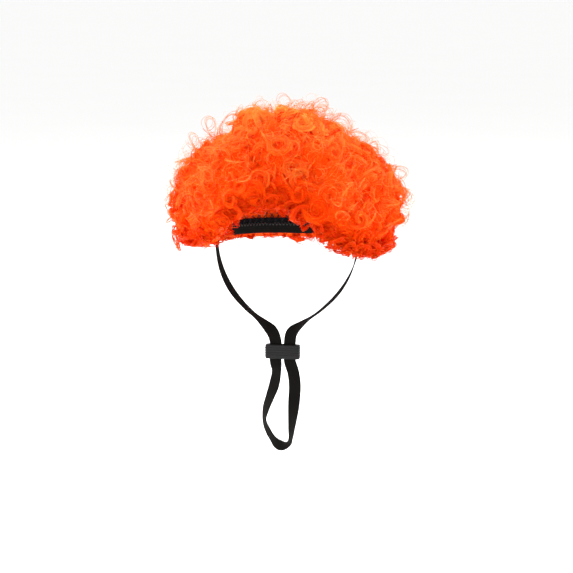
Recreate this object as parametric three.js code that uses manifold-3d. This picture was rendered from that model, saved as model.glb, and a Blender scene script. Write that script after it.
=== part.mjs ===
// A curly pet wig: a net cap with an elastic hem, curls fused to their backing round it,
// and a flat elastic chin strap whose two runs pass through a slide and hang in a loop.
// Millimetres, +Z up, the face looks along -Y and +X is the viewer's right.
// The origin is inside the crown of the cap, where the top of the head bears.

import * as THREE from 'three';
import { mergeVertices } from 'three/addons/utils/BufferGeometryUtils.js';
import Module from 'manifold-3d';

const wasm = await Module();
wasm.setup();

// Driving sizes
const HEAD = { side: 62, front: 64, back: 64, height: 62 }; // half widths and depth of the cap's hollow
const CAP_WALL = 2;
const HEM_HEIGHT = 8;
const HEM_WALL = { inside: -0.4, outside: 2 }; // lifts of its two faces off the hollow
const SEAM_GAP = 0.3; // between pieces that are sewn together
const HAIR_GAP = 0.4; // between the cap and the backing of the curls
const BACKING_LIFT = 20; // of the backing's outside off the hollow
const BACKING_RAISE = 1; // how far its edge stays above the lowest curls
const HOLLOW_DEPTH = 6; // of the cut that fits the hair to the cap
const RIM_RAISE = 5; // how far the cap's edge stays above the hair's
const STRAP = { width: 10, thickness: 1, steps: 72 };
const SLIDE = { width: 29, depth: 7, height: 12, corner: 2 };
const SLOT = { width: 23.4, depth: 2.4 };

// Facets of the round pieces
const AROUND = 32;
const CURL_SIDES = 5;
const CURL_STEPS = 8;
const CORNER_STEPS = 3;

const MERGE_WITHIN = 1e-4; // corners closer than this are one

// Rings of the head form: the cap's from 0 to 1, the hem's from 2 to 3, and one past the hair's edge
const CAP_RINGS = evenSteps(0, 1, 7);
const HEM_RINGS = evenSteps(2, 3, 2);
const PAST_EDGE = 4;
const CAP_BELOW = 1.5;
const HEM_BELOW = 3.5;
const BACKING_RINGS = evenSteps(0, 1, 6);

// How far the hair's lower edge lies below the crown, by the angle from the middle of the face
const HAIR_EDGE = [
  { angle: 0, drop: 41 },
  { angle: 15, drop: 46 },
  { angle: 30, drop: 64 },
  { angle: 42, drop: 78 },
  { angle: 65, drop: 85 },
  { angle: 100, drop: 88 },
  { angle: 180, drop: 90 },
];

// Rows of curls from the crown down. bend is a row's angle off the crown, start the angle of its first
// curl, out how far the middle of a curl stands off the hollow, and size the radius of its turn.
// The last row has no bend: it follows the hair's edge.
const CURL_ROWS = [
  { bend: 5, count: 1, start: 60, out: 27, size: 12 },
  { bend: 26, count: 6, start: 30, out: 28, size: 12 },
  { bend: 46, count: 10, start: 0, out: 28, size: 12 },
  { bend: 65, count: 13, start: 14, out: 29, size: 12 },
  { bend: 82, count: 14, start: 0, out: 29, size: 12 },
  { count: 16, start: 11, out: 26, size: 11 },
];
const EDGE_ROW_RAISE = 18; // how far the last row's middles stay above the hair's edge
const LEAST_ROW_GAP = 15; // a curl that comes closer than this to the last row is left out
const CURL = { turns: 0.95, thick: 9, tipShare: 0.6, wind: 0.35, tilt: 0.4 };
const CURL_RISE = { from: -12, to: 1, share: 0.625 }; // heights of root and tip, and where the rise ends
const CURL_SPREAD = { angle: 5, bend: 2.5, size: 0.16, out: 2 }; // how much one curl differs from the next
const TRAIT = { angle: 1, bend: 2, out: 3, size: 4, hand: 5, turn: 6, lean: 7 }; // one number for each
const SCATTER = { curl: 12.9898, trait: 78.233, times: 43758.5453 }; // of the wave that vary reads

// Tapered locks that hang below the edge on one side
const HANGING_LOCKS = [
  { angle: -76, lift: 24, length: 25, thick: 6.5 },
  { angle: -44, lift: 20, length: 22, thick: 6 },
];
const LOCK = { tuck: 2, bow: 4, tipShare: 0.35 }; // how far the end turns in and the middle out

// The strap's middle line and the direction of its width, from the rim to the slide
const STRAP_SIDE = [
  { x: -60, y: 3, z: -62, wide: [0, 1, 0] },
  { x: -60, y: 3, z: -76, wide: [0, 1, 0] },
  { x: -59.4, y: 1.5, z: -91, wide: [0, 1, 0] },
  { x: -54.5, y: -3, z: -108, wide: [0.15, 1, 0] },
  { x: -45, y: -8.5, z: -124, wide: [0.4, 0.9, -0.15] },
  { x: -31, y: -14, z: -138, wide: [0.65, 0.65, -0.4] },
  { x: -17, y: -18.5, z: -148, wide: [0.85, 0.3, -0.4] },
  { x: -8.2, y: -21, z: -156, wide: [1, 0.1, -0.2] },
];

// The loop below the slide: down on the left, round the bottom and up on the right
const STRAP_LOOP = [
  { x: -5.3, y: -22, z: -164, wide: [1, 0, 0] },
  { x: -5.3, y: -22, z: -172, wide: [1, 0, 0] },
  { x: -5.3, y: -22, z: -180, wide: [1, 0, 0] },
  { x: -4.5, y: -22.5, z: -189, wide: [0.85, -0.5, 0.1] },
  { x: -6.3, y: -23, z: -200, wide: [0.9, -0.42, -0.1] },
  { x: -9.8, y: -23.5, z: -210.5, wide: [0.78, -0.6, -0.1] },
  { x: -13.3, y: -24, z: -221, wide: [0.65, -0.75, 0] },
  { x: -14.5, y: -24.5, z: -230, wide: [0.45, -0.87, 0.2] },
  { x: -12.2, y: -25, z: -237.5, wide: [0.55, -0.78, 0.35] },
  { x: -7.2, y: -25.4, z: -246, wide: [0.56, -0.68, 0.5] },
  { x: -1, y: -25.6, z: -251.6, wide: [0.32, -0.2, 0.93] },
  { x: 5.8, y: -25.4, z: -250, wide: [-0.15, -0.8, 0.58] },
  { x: 7.9, y: -25.1, z: -246, wide: [-0.15, -0.95, 0.25] },
  { x: 8.8, y: -24.6, z: -236.5, wide: [-0.4, -0.9, 0.2] },
  { x: 9.8, y: -24, z: -225, wide: [-0.7, -0.7, 0.15] },
  { x: 10.6, y: -23.5, z: -213, wide: [-0.93, -0.35, 0.05] },
  { x: 11.1, y: -23, z: -200, wide: [-0.98, -0.2, 0] },
  { x: 9.6, y: -22.5, z: -189, wide: [-0.9, -0.4, -0.1] },
  { x: 6.7, y: -22, z: -180, wide: [-1, 0, 0] },
  { x: 6.7, y: -22, z: -172, wide: [-1, 0, 0] },
  { x: 6.7, y: -22, z: -164, wide: [-1, 0, 0] },
];

// Finishes
const BLACK_NET = { color: 0x17151a, roughness: 0.85, metalness: 0 };
const BLACK_ELASTIC = { color: 0x181713, roughness: 0.8, metalness: 0 };
const BLACK_PLASTIC = { color: 0x1a1a1c, roughness: 0.45, metalness: 0 };
const ORANGE_HAIR = { color: 0xf44e13, roughness: 0.6, metalness: 0 };

function evenSteps(from, to, steps) {
  return Array.from({ length: steps + 1 }, (_, step) => THREE.MathUtils.lerp(from, to, step / steps));
}

// How far below the crown the hair's edge is at an angle, alike on both sides of the face
function edgeDrop(angle) {
  const side = Math.abs(THREE.MathUtils.euclideanModulo(angle + 180, 360) - 180);
  const next = Math.max(1, HAIR_EDGE.findIndex((row) => row.angle >= side));
  const from = HAIR_EDGE[next - 1];
  const to = HAIR_EDGE[next];
  const way = (side - from.angle) / (to.angle - from.angle);
  return THREE.MathUtils.lerp(from.drop, to.drop, way);
}

function rimDrop(angle) {
  return edgeDrop(angle) - RIM_RAISE;
}

// How far out the form reaches in a direction, at a lift off the hollow
function reachAt(angle, lift) {
  const turn = THREE.MathUtils.degToRad(angle);
  const halfLength = (Math.cos(turn) > 0 ? HEAD.front : HEAD.back) + lift;
  return 1 / Math.hypot(Math.sin(turn) / (HEAD.side + lift), Math.cos(turn) / halfLength);
}

// A point over the head: angle round it from the face, share of the way from the crown to an edge that
// lies drop below the crown on the layer edgeLift, and lift off the hollow. Below its widest level the
// form drops straight.
function overHead(angle, share, lift, drop, edgeLift = lift) {
  const below = drop - HEAD.height;
  const edgeHeight = HEAD.height + edgeLift;
  const roundEnd = below < 0 ? Math.acos(Math.min(-below / edgeHeight, 1)) : Math.PI / 2;
  const roundness = (reachAt(angle, edgeLift) + edgeHeight) / 2;
  const along = share * (roundEnd * roundness + Math.max(0, below));
  const bend = Math.min(roundEnd, along / roundness);
  const straight = Math.max(0, along - roundEnd * roundness);
  const turn = THREE.MathUtils.degToRad(angle);
  const reach = reachAt(angle, lift) * Math.sin(bend);
  const z = (HEAD.height + lift) * Math.cos(bend) - HEAD.height - straight;
  return new THREE.Vector3(reach * Math.sin(turn), -reach * Math.cos(turn), z);
}

// A point on the head form: the cap's rings, the hem's below a seam, and one past the hair's edge
function formPoint(angle, ring, lift) {
  const capDrop = rimDrop(angle) - HEM_HEIGHT - SEAM_GAP;
  if (ring < CAP_BELOW) {
    return overHead(angle, Math.min(ring, 1), lift, capDrop, 0);
  }
  if (ring < HEM_BELOW) {
    return overHead(angle, 1, lift, rimDrop(angle) - HEM_HEIGHT * (HEM_RINGS.at(-1) - ring), 0);
  }
  return overHead(angle, 1, lift, edgeDrop(angle) + HEM_HEIGHT, 0);
}

// A round blank of cloth with an inside and an outside layer, for pressing over the head
function roundBlank(radii) {
  const inside = radii.map((radius) => new THREE.Vector2(radius, 0));
  const outside = radii.map((radius) => new THREE.Vector2(radius, 1)).reverse();
  return new THREE.LatheGeometry([...inside, ...outside], AROUND);
}

// A flat ring of cloth, closed all round, for a band along the rim
function ringBlank(radii) {
  const inside = radii.map((radius) => new THREE.Vector2(radius, 0));
  const outside = radii.map((radius) => new THREE.Vector2(radius, 1)).reverse();
  return new THREE.LatheGeometry([...inside, ...outside, inside[0].clone()], AROUND);
}

// Moves each vertex of a blank to where place puts it, from its angle, its radius and its layer
function press(blank, place) {
  const spots = blank.attributes.position;
  for (let index = 0; index < spots.count; index += 1) {
    const x = spots.getX(index);
    const z = spots.getZ(index);
    const angle = THREE.MathUtils.radToDeg(Math.atan2(x, z));
    const spot = place(angle, Math.hypot(x, z), spots.getY(index));
    spots.setXYZ(index, spot.x, spot.y, spot.z);
  }
  return bare(blank);
}

// Only positions, with shared corners merged
function bare(geometry) {
  geometry.deleteAttribute('normal');
  geometry.deleteAttribute('uv');
  return mergeVertices(geometry, MERGE_WITHIN);
}

function toSolid(geometry) {
  return new wasm.Manifold(new wasm.Mesh({
    numProp: 3,
    vertProperties: new Float32Array(geometry.attributes.position.array),
    triVerts: new Uint32Array(geometry.index.array),
  }));
}

function toGeometry(solid) {
  const mesh = solid.getMesh();
  const geometry = new THREE.BufferGeometry();
  geometry.setAttribute('position', new THREE.BufferAttribute(mesh.vertProperties, 3));
  geometry.setIndex(new THREE.BufferAttribute(mesh.triVerts, 1));
  return geometry;
}

function piece(name, geometry, finish) {
  geometry.computeVertexNormals();
  const mesh = new THREE.Mesh(geometry, new THREE.MeshStandardMaterial(finish));
  mesh.name = name;
  return mesh;
}

// Net cap
function makeCap() {
  return press(roundBlank(CAP_RINGS), (angle, ring, layer) => formPoint(angle, ring, layer * CAP_WALL));
}

// Elastic hem, a band under the cap's edge
function makeHem() {
  return press(ringBlank(HEM_RINGS), (angle, ring, layer) => (
    formPoint(angle, ring, THREE.MathUtils.lerp(HEM_WALL.inside, HEM_WALL.outside, layer))
  ));
}

// A steady number from 0 to 1 for each curl and each thing that varies
function vary(curl, trait) {
  const wave = Math.sin(curl * SCATTER.curl + trait * SCATTER.trait) * SCATTER.times;
  return wave - Math.floor(wave);
}

function spread(curl, trait, most) {
  return (2 * vary(curl, trait) - 1) * most;
}

// A place on the hair at an angle, a drop below the crown and a lift, with the directions out of it,
// down it and across it
function hairAxes(angle, drop, lift) {
  const spot = overHead(angle, 1, lift, drop);
  const out = overHead(angle, 1, lift + 1, drop, lift).sub(spot).normalize();
  const down = overHead(angle, 1, lift, drop + 1).sub(spot);
  down.addScaledVector(out, -down.dot(out)).normalize();
  const across = new THREE.Vector3().crossVectors(down, out);
  return { spot, out, down, across };
}

// A curl rises out of the backing and winds in to its tip, in a plane that leans
class CurlLine extends THREE.Curve {
  constructor(axes, size, startTurn, hand, lean) {
    super();
    this.axes = axes;
    this.size = size;
    this.startTurn = startTurn;
    this.hand = hand;
    this.lean = lean;
  }

  getPoint(way, target = new THREE.Vector3()) {
    const turn = this.startTurn + this.hand * way * CURL.turns * 2 * Math.PI;
    const radius = this.size * (1 - CURL.wind * way);
    const ease = Math.sin(Math.min(1, way / CURL_RISE.share) * Math.PI / 2);
    const height = THREE.MathUtils.lerp(CURL_RISE.from, CURL_RISE.to, ease);
    const across = radius * Math.cos(turn);
    const down = radius * Math.sin(turn);
    return target.copy(this.axes.spot)
      .addScaledVector(this.axes.across, across)
      .addScaledVector(this.axes.down, down)
      .addScaledVector(this.axes.out, height + this.lean * down * ease);
  }
}

// A tube of hair along a line, thick for most of its length and thinner at the tip
function lockAlong(line, thick, tipShare) {
  const tube = new THREE.CylinderGeometry(1, 1, 1, CURL_SIDES, CURL_STEPS);
  const frames = line.computeFrenetFrames(CURL_STEPS);
  const spots = tube.attributes.position;
  for (let index = 0; index < spots.count; index += 1) {
    const step = Math.round((spots.getY(index) + 0.5) * CURL_STEPS);
    const way = step / CURL_STEPS;
    const radius = thick * THREE.MathUtils.lerp(1, tipShare, way * way);
    const spot = line.getPoint(way)
      .addScaledVector(frames.normals[step], spots.getX(index) * radius)
      .addScaledVector(frames.binormals[step], -spots.getZ(index) * radius);
    spots.setXYZ(index, spot.x, spot.y, spot.z);
  }
  return bare(tube);
}

function curlLines() {
  const lines = [];
  for (const row of CURL_ROWS) {
    for (let place = 0; place < row.count; place += 1) {
      const curl = lines.length;
      const angle = row.start + (360 * place) / row.count + spread(curl, TRAIT.angle, CURL_SPREAD.angle);
      const lift = row.out + spread(curl, TRAIT.out, CURL_SPREAD.out);
      const lowest = edgeDrop(angle) - EDGE_ROW_RAISE;
      const bend = THREE.MathUtils.degToRad(row.bend + spread(curl, TRAIT.bend, CURL_SPREAD.bend));
      const inRow = HEAD.height - (HEAD.height + lift) * Math.cos(bend);
      if (row.bend && lowest - inRow < LEAST_ROW_GAP) {
        continue;
      }
      const axes = hairAxes(angle, row.bend ? inRow : lowest, lift);
      const size = row.size * (1 + spread(curl, TRAIT.size, CURL_SPREAD.size));
      const hand = vary(curl, TRAIT.hand) < 0.5 ? -1 : 1;
      const lean = spread(curl, TRAIT.lean, CURL.tilt);
      lines.push(new CurlLine(axes, size, vary(curl, TRAIT.turn) * 2 * Math.PI, hand, lean));
    }
  }
  return lines;
}

// Curls and hanging locks fused to their backing, hollowed to sit round the cap and its hem
function makeHair() {
  const backing = press(roundBlank(BACKING_RINGS), (angle, share, layer) => (
    overHead(angle, share, layer * BACKING_LIFT, edgeDrop(angle) - BACKING_RAISE)
  ));
  const hollow = press(roundBlank([...CAP_RINGS, ...HEM_RINGS, PAST_EDGE]), (angle, ring, layer) => (
    formPoint(angle, ring, THREE.MathUtils.lerp(-HOLLOW_DEPTH, CAP_WALL + HAIR_GAP, layer))
  ));
  const locks = curlLines().map((line) => lockAlong(line, CURL.thick, CURL.tipShare));
  for (const lock of HANGING_LOCKS) {
    const { spot, out } = hairAxes(lock.angle, edgeDrop(lock.angle) - EDGE_ROW_RAISE, lock.lift);
    const end = spot.clone().addScaledVector(out, -LOCK.tuck);
    end.z -= lock.length;
    const middle = spot.clone().lerp(end, 0.5).addScaledVector(out, LOCK.bow);
    const line = new THREE.QuadraticBezierCurve3(spot, middle, end);
    locks.push(lockAlong(line, lock.thick, LOCK.tipShare));
  }
  const mass = wasm.Manifold.union([backing, ...locks].map(toSolid)).subtract(toSolid(hollow));
  const [body] = mass.decompose().sort((one, other) => other.volume() - one.volume());
  return toGeometry(body); // without the skins of pockets that the curls shut in
}

// Flat elastic, one length from the left of the rim through the slide, round the loop and back
function makeStrap() {
  const otherSide = STRAP_SIDE.map(({ x, y, z, wide: [across, ...rest] }) => (
    { x: -x, y, z, wide: [-across, ...rest] }
  ));
  const rows = [...STRAP_SIDE, ...STRAP_LOOP, ...otherSide.reverse()];
  const middle = new THREE.CatmullRomCurve3(rows.map(({ x, y, z }) => new THREE.Vector3(x, y, z)));
  const widths = new THREE.CatmullRomCurve3(rows.map(({ wide }) => new THREE.Vector3(...wide)));
  const band = new THREE.BoxGeometry(STRAP.width, STRAP.thickness, 1, 1, 1, STRAP.steps);
  const spots = band.attributes.position;
  for (let index = 0; index < spots.count; index += 1) {
    const way = spots.getZ(index) + 0.5;
    const along = middle.getTangent(way);
    const wide = widths.getPoint(way);
    wide.addScaledVector(along, -wide.dot(along)).normalize();
    const thick = new THREE.Vector3().crossVectors(along, wide);
    const spot = middle.getPoint(way)
      .addScaledVector(wide, spots.getX(index))
      .addScaledVector(thick, spots.getY(index));
    spots.setXYZ(index, spot.x, spot.y, spot.z);
  }
  return bare(band);
}

// Plain keeper with one slot for both runs of the strap
function makeSlide() {
  const [left, right] = [STRAP_LOOP[1], STRAP_LOOP[STRAP_LOOP.length - 2]];
  const outline = new THREE.Shape();
  const halfWidth = SLIDE.width / 2;
  const halfDepth = SLIDE.depth / 2;
  outline.moveTo(-halfWidth + SLIDE.corner, -halfDepth);
  outline.lineTo(halfWidth - SLIDE.corner, -halfDepth);
  outline.absarc(halfWidth - SLIDE.corner, -halfDepth + SLIDE.corner, SLIDE.corner, -Math.PI / 2, 0);
  outline.absarc(halfWidth - SLIDE.corner, halfDepth - SLIDE.corner, SLIDE.corner, 0, Math.PI / 2);
  outline.absarc(-halfWidth + SLIDE.corner, halfDepth - SLIDE.corner, SLIDE.corner, Math.PI / 2, Math.PI);
  outline.absarc(-halfWidth + SLIDE.corner, -halfDepth + SLIDE.corner, SLIDE.corner, Math.PI, Math.PI * 1.5);
  const slot = new THREE.Path();
  slot.moveTo(-SLOT.width / 2, -SLOT.depth / 2);
  slot.lineTo(-SLOT.width / 2, SLOT.depth / 2);
  slot.lineTo(SLOT.width / 2, SLOT.depth / 2);
  slot.lineTo(SLOT.width / 2, -SLOT.depth / 2);
  outline.holes.push(slot);
  const block = new THREE.ExtrudeGeometry(outline, {
    depth: SLIDE.height,
    bevelEnabled: false,
    curveSegments: CORNER_STEPS,
  });
  block.translate((left.x + right.x) / 2, left.y, left.z - SLIDE.height / 2);
  return bare(block);
}

const wig = new THREE.Group();
wig.name = 'pet_wig';
wig.add(
  piece('cap', makeCap(), BLACK_NET),
  piece('rim_hem', makeHem(), BLACK_ELASTIC),
  piece('hair', makeHair(), ORANGE_HAIR),
  piece('chin_strap', makeStrap(), BLACK_ELASTIC),
  piece('strap_slide', makeSlide(), BLACK_PLASTIC),
);

export default wig;
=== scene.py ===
"""A curly pet wig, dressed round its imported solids.

The hair is a mat of fibre with thousands of curled strands on it, which follow the form of the hair solid.
The cap is an open net with sewn wefts, the hem and the chin strap are woven elastic, and the slide that
gathers the strap is moulded plastic. Metres, +Z up, the face looks along -Y and +X is the viewer's right.
"""

import math

import bpy
import numpy as np
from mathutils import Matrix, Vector
from mathutils.bvhtree import BVHTree


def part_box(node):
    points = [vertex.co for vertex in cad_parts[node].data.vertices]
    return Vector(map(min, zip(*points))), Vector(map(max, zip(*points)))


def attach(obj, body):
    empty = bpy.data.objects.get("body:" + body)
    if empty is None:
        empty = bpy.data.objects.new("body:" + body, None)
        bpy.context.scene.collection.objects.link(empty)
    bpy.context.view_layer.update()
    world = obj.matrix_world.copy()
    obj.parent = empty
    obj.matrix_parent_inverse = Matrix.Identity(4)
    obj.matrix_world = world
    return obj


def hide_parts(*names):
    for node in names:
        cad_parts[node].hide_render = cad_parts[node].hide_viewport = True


bl_info = {
    "name": "Curly Pet Wig",
    "version": (1, 0, 0),
    "blender": (4, 5, 0),
    "location": "3D View > Sidebar > Pet Wig",
    "description": "Dresses the solids of a curly pet wig with strands, net, woven elastic and plastic",
    "category": "Object",
}

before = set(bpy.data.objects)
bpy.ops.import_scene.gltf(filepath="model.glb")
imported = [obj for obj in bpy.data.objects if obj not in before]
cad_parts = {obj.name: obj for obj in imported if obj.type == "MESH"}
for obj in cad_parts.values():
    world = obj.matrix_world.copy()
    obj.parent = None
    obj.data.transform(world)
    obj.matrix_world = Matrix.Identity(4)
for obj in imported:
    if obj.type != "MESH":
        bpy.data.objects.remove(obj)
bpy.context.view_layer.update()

BODY = "root"
BAKE_MAP = "OFBake"
WEAVE_MAP = "weave"

# The head form that the cap's inside follows: half widths, and the depth of its round part
HEAD_SIDE = 0.062
HEAD_FRONT = 0.064
HEAD_BACK = 0.064
HEAD_HEIGHT = 0.062

# How far the hair's lower edge lies below the crown, by the angle from the middle of the face
HAIR_EDGE_ANGLES = (0, 15, 30, 42, 65, 100, 180)
HAIR_EDGE_DROPS = (0.041, 0.046, 0.064, 0.078, 0.085, 0.088, 0.090)

CAP_WALL = 0.002
HAIR_GAP = 0.0005  # between the cap and the mat
HEM_HEIGHT = 0.008
HEM_INSIDE = -0.0004
SEAM_GAP = 0.0003
RIM_RAISE = 0.005  # how far the cap's edge stays above the hair's
EDGE_LIFT = 0.020  # the layer on which the hair's edge is measured

# The strap's middle line from the left of the rim to the slide, and the direction of its width
STRAP_SIDE = (
    ((-0.0600, 0.0030, -0.0620), (0.00, 1.00, 0.00)),
    ((-0.0600, 0.0030, -0.0760), (0.00, 1.00, 0.00)),
    ((-0.0594, 0.0015, -0.0910), (0.00, 1.00, 0.00)),
    ((-0.0545, -0.0030, -0.1080), (0.15, 1.00, 0.00)),
    ((-0.0450, -0.0085, -0.1240), (0.40, 0.90, -0.15)),
    ((-0.0310, -0.0140, -0.1380), (0.65, 0.65, -0.40)),
    ((-0.0170, -0.0185, -0.1480), (0.85, 0.30, -0.40)),
    ((-0.0082, -0.0210, -0.1560), (1.00, 0.10, -0.20)),
)

# The loop below the slide: down on the left, round the bottom and up on the right
STRAP_LOOP = (
    ((-0.0053, -0.0220, -0.1640), (1.00, 0.00, 0.00)),
    ((-0.0053, -0.0220, -0.1720), (1.00, 0.00, 0.00)),
    ((-0.0053, -0.0220, -0.1800), (1.00, 0.00, 0.00)),
    ((-0.0045, -0.0225, -0.1890), (0.85, -0.50, 0.10)),
    ((-0.0063, -0.0230, -0.2000), (0.90, -0.42, -0.10)),
    ((-0.0098, -0.0235, -0.2105), (0.78, -0.60, -0.10)),
    ((-0.0133, -0.0240, -0.2210), (0.65, -0.75, 0.00)),
    ((-0.0145, -0.0245, -0.2300), (0.45, -0.87, 0.20)),
    ((-0.0122, -0.0250, -0.2375), (0.55, -0.78, 0.35)),
    ((-0.0072, -0.0254, -0.2460), (0.56, -0.68, 0.50)),
    ((-0.0010, -0.0256, -0.2516), (0.32, -0.20, 0.93)),
    ((0.0058, -0.0254, -0.2500), (-0.15, -0.80, 0.58)),
    ((0.0079, -0.0251, -0.2460), (-0.15, -0.95, 0.25)),
    ((0.0088, -0.0246, -0.2365), (-0.40, -0.90, 0.20)),
    ((0.0098, -0.0240, -0.2250), (-0.70, -0.70, 0.15)),
    ((0.0106, -0.0235, -0.2130), (-0.93, -0.35, 0.05)),
    ((0.0111, -0.0230, -0.2000), (-0.98, -0.20, 0.00)),
    ((0.0096, -0.0225, -0.1890), (-0.90, -0.40, -0.10)),
    ((0.0067, -0.0220, -0.1800), (-1.00, 0.00, 0.00)),
    ((0.0067, -0.0220, -0.1720), (-1.00, 0.00, 0.00)),
    ((0.0067, -0.0220, -0.1640), (-1.00, 0.00, 0.00)),
)

# Where the curls lie lower or fuller: angle, share, reach in angle, reach in share and how much
HAIR_SWELLS = (
    (-85, 0.38, 42, 0.14, -0.0048),
    (80, 0.30, 45, 0.16, -0.0065),
    (0, 0.00, 400, 0.22, -0.0020),
    (-95, 0.74, 40, 0.16, 0.0030),
    (-95, 0.57, 34, 0.10, 0.0035),
    (90, 0.70, 40, 0.14, 0.0032),
)

# How far the curls of the lower edge hang below it: angle and depth
RIM_SAGS = (
    (-180, 0.0), (-50, 0.0), (-28, 0.0038), (-8, 0.0048), (6, 0.0042), (16, 0.0050),
    (27, 0.0072), (42, 0.0056), (60, 0.0052), (95, 0.0040), (125, 0.0), (180, 0.0),
)

# Locks that hang below the hair's edge on one side: angle, lift off the head, length and thickness
HANGING_LOCKS = (
    (-76, 0.029, 0.022, 0.0065),
    (-42, 0.020, 0.020, 0.0060),
)


# Properties that a user would change

def length(name, default, description):
    """A property that is a length in metres."""
    return bpy.props.FloatProperty(
        name=name, description=description, default=default, unit="LENGTH", precision=5
    )


def colour(name, default, description):
    """A property that is a linear colour."""
    return bpy.props.FloatVectorProperty(
        name=name, description=description, default=default, subtype="COLOR", size=3, min=0, max=1
    )


def number(name, default, description):
    """A property that is a whole number."""
    return bpy.props.IntProperty(name=name, description=description, default=default)


class HairSettings(bpy.types.PropertyGroup):
    """Sizes and colours of the hair."""

    strand: length("Strand width", 0.00050, "Thickness of one strand of curled fibre")
    fine_strand: length("Loose strand width", 0.00032, "Thickness of the strands that stand off the curls")
    curl_radius: length("Curl radius", 0.0090, "Usual radius of a curl's turn")
    spacing: length("Curl spacing", 0.0092, "Least distance between the middles of two curls")
    # Painted shade: this colour darkens the lowest curls, where shade falls under the hair
    deep_colour: colour("Deep colour", (0.60, 0.025, 0.0009), "Colour of the lowest curls")
    # The root colour is painted shade deep in the hair; the tip colour comes in towards its outside as
    # painted light, and by each strand's own tone
    root_colour: colour("Root colour", (0.985, 0.072, 0.0012), "Colour at the roots and in the mat")
    body_colour: colour("Hair colour", (0.985, 0.075, 0.0014), "Colour of most of a strand")
    tip_colour: colour("Tip colour", (0.985, 0.390, 0.065), "Paler colour towards the tips")
    # Painted light: the loose strands are paler, standing in for light that comes through fine fibre
    loose_colour: colour("Loose colour", (0.985, 0.400, 0.090), "Pale colour of the loose strands' tips")
    seed: number("Seed", 11, "Start of the steady random numbers")


class CapSettings(bpy.types.PropertyGroup):
    """Sizes and colours of the cap and its hem."""

    cords: number("Net cords", 68, "Cords in each of the net's two slants")
    cord_width: length("Net cord width", 0.0008, "Thickness of the net's cords")
    weft_width: length("Weft width", 0.0045, "Width of the sewn tapes that carry the hair")
    net_colour: colour("Net colour", (0.010, 0.009, 0.011), "Colour of the net and its tapes")
    elastic_colour: colour("Hem colour", (0.009, 0.0085, 0.008), "Colour of the hem's elastic")
    thread_colour: colour("Thread colour", (0.045, 0.042, 0.040), "Colour of the sewing thread")


class StrapSettings(bpy.types.PropertyGroup):
    """Sizes and colours of the chin strap and its slide."""

    width: length("Strap width", 0.010, "Width of the flat elastic")
    thickness: length("Strap thickness", 0.001, "Thickness of the flat elastic")
    ribs: number("Ribs", 8, "Ribs along each face of the elastic")
    colour: colour("Strap colour", (0.0050, 0.0046, 0.0040), "Colour of the elastic")
    plastic_colour: colour("Slide colour", (0.0070, 0.0070, 0.0075), "Colour of the moulded slide")


class StageSettings(bpy.types.PropertyGroup):
    """Camera, floor and light."""

    azimuth: bpy.props.FloatProperty(
        name="Camera azimuth", description="Angle of the camera to the right of the face",
        default=math.radians(10), subtype="ANGLE",
    )
    elevation: bpy.props.FloatProperty(
        name="Camera elevation", description="Angle of the camera above the horizon",
        default=math.radians(10), subtype="ANGLE",
    )
    distance: length("Camera distance", 1.5, "Distance of the camera from the point it looks at")
    aim_height: length("Aim height", -0.121, "Height of the point that the camera looks at")
    field: length("Field", 0.481, "Width of the view at that point")
    floor_height: length("Floor height", -0.292, "Height of the floor under the hanging strap")
    floor_colour: colour("Floor colour", (0.97, 0.97, 0.965), "Pale colour of the floor")


class WigSettings(bpy.types.PropertyGroup):
    """All settings of the wig."""

    hair: bpy.props.PointerProperty(type=HairSettings, name="Hair", description="The curls")
    cap: bpy.props.PointerProperty(type=CapSettings, name="Cap", description="The cap and its hem")
    strap: bpy.props.PointerProperty(type=StrapSettings, name="Strap", description="The chin strap")
    stage: bpy.props.PointerProperty(type=StageSettings, name="Stage", description="Camera and light")


# The head form

def edge_drop(angle):
    """How far below the crown the hair's edge is at each angle, alike on both sides of the face."""
    side = np.abs((np.asarray(angle, float) + 180) % 360 - 180)
    return np.interp(side, HAIR_EDGE_ANGLES, HAIR_EDGE_DROPS)


def cap_drop(angle):
    """How far below the crown the cap's edge is, where the hem begins."""
    return edge_drop(angle) - RIM_RAISE - HEM_HEIGHT - SEAM_GAP


def reach(angle, lift):
    """How far out the form reaches in a direction, at a lift off the head."""
    turn = np.radians(angle)
    half_length = np.where(np.cos(turn) > 0, HEAD_FRONT, HEAD_BACK) + lift
    return 1 / np.hypot(np.sin(turn) / (HEAD_SIDE + lift), np.cos(turn) / half_length)


def over_head(angle, share, lift, drop, edge_lift):
    """Points over the head: the share of the way from the crown to an edge that lies drop below it."""
    angle = np.asarray(angle, float)
    below = drop - HEAD_HEIGHT
    edge_height = HEAD_HEIGHT + edge_lift
    round_end = np.where(below < 0, np.arccos(np.clip(-below / edge_height, 0, 1)), np.pi / 2)
    roundness = (reach(angle, edge_lift) + edge_height) / 2
    along = share * (round_end * roundness + np.maximum(0, below))
    bend = np.minimum(round_end, along / roundness)
    straight = np.maximum(0, along - round_end * roundness)
    turn = np.radians(angle)
    out = reach(angle, lift) * np.sin(bend)
    z = (HEAD_HEIGHT + lift) * np.cos(bend) - HEAD_HEIGHT - straight
    return np.stack(np.broadcast_arrays(out * np.sin(turn), -out * np.cos(turn), z), -1)


def cap_point(angle, share, lift):
    """Points of the cap, from its crown to the seam with the hem."""
    return over_head(angle, share, lift, cap_drop(angle), 0.0)


def hair_point(angle, share, lift):
    """Points of the hair, from the crown to its lower edge."""
    return over_head(angle, share, lift, edge_drop(angle), EDGE_LIFT)


def unit(vectors):
    """Vectors of length one."""
    return vectors / np.maximum(np.linalg.norm(vectors, axis=-1, keepdims=True), 1e-12)


def hair_axes(angle, share, lift):
    """Spots on the hair with the directions across it, down it and out of it."""
    small = 1e-3
    spot = hair_point(angle, share, lift)
    out = unit(hair_point(angle, share, lift + small) - spot)
    down = hair_point(angle, share + small, lift) - hair_point(angle, share - small, lift)
    down = unit(down - out * np.sum(down * out, -1, keepdims=True))
    return spot, np.cross(down, out), down, out


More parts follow.
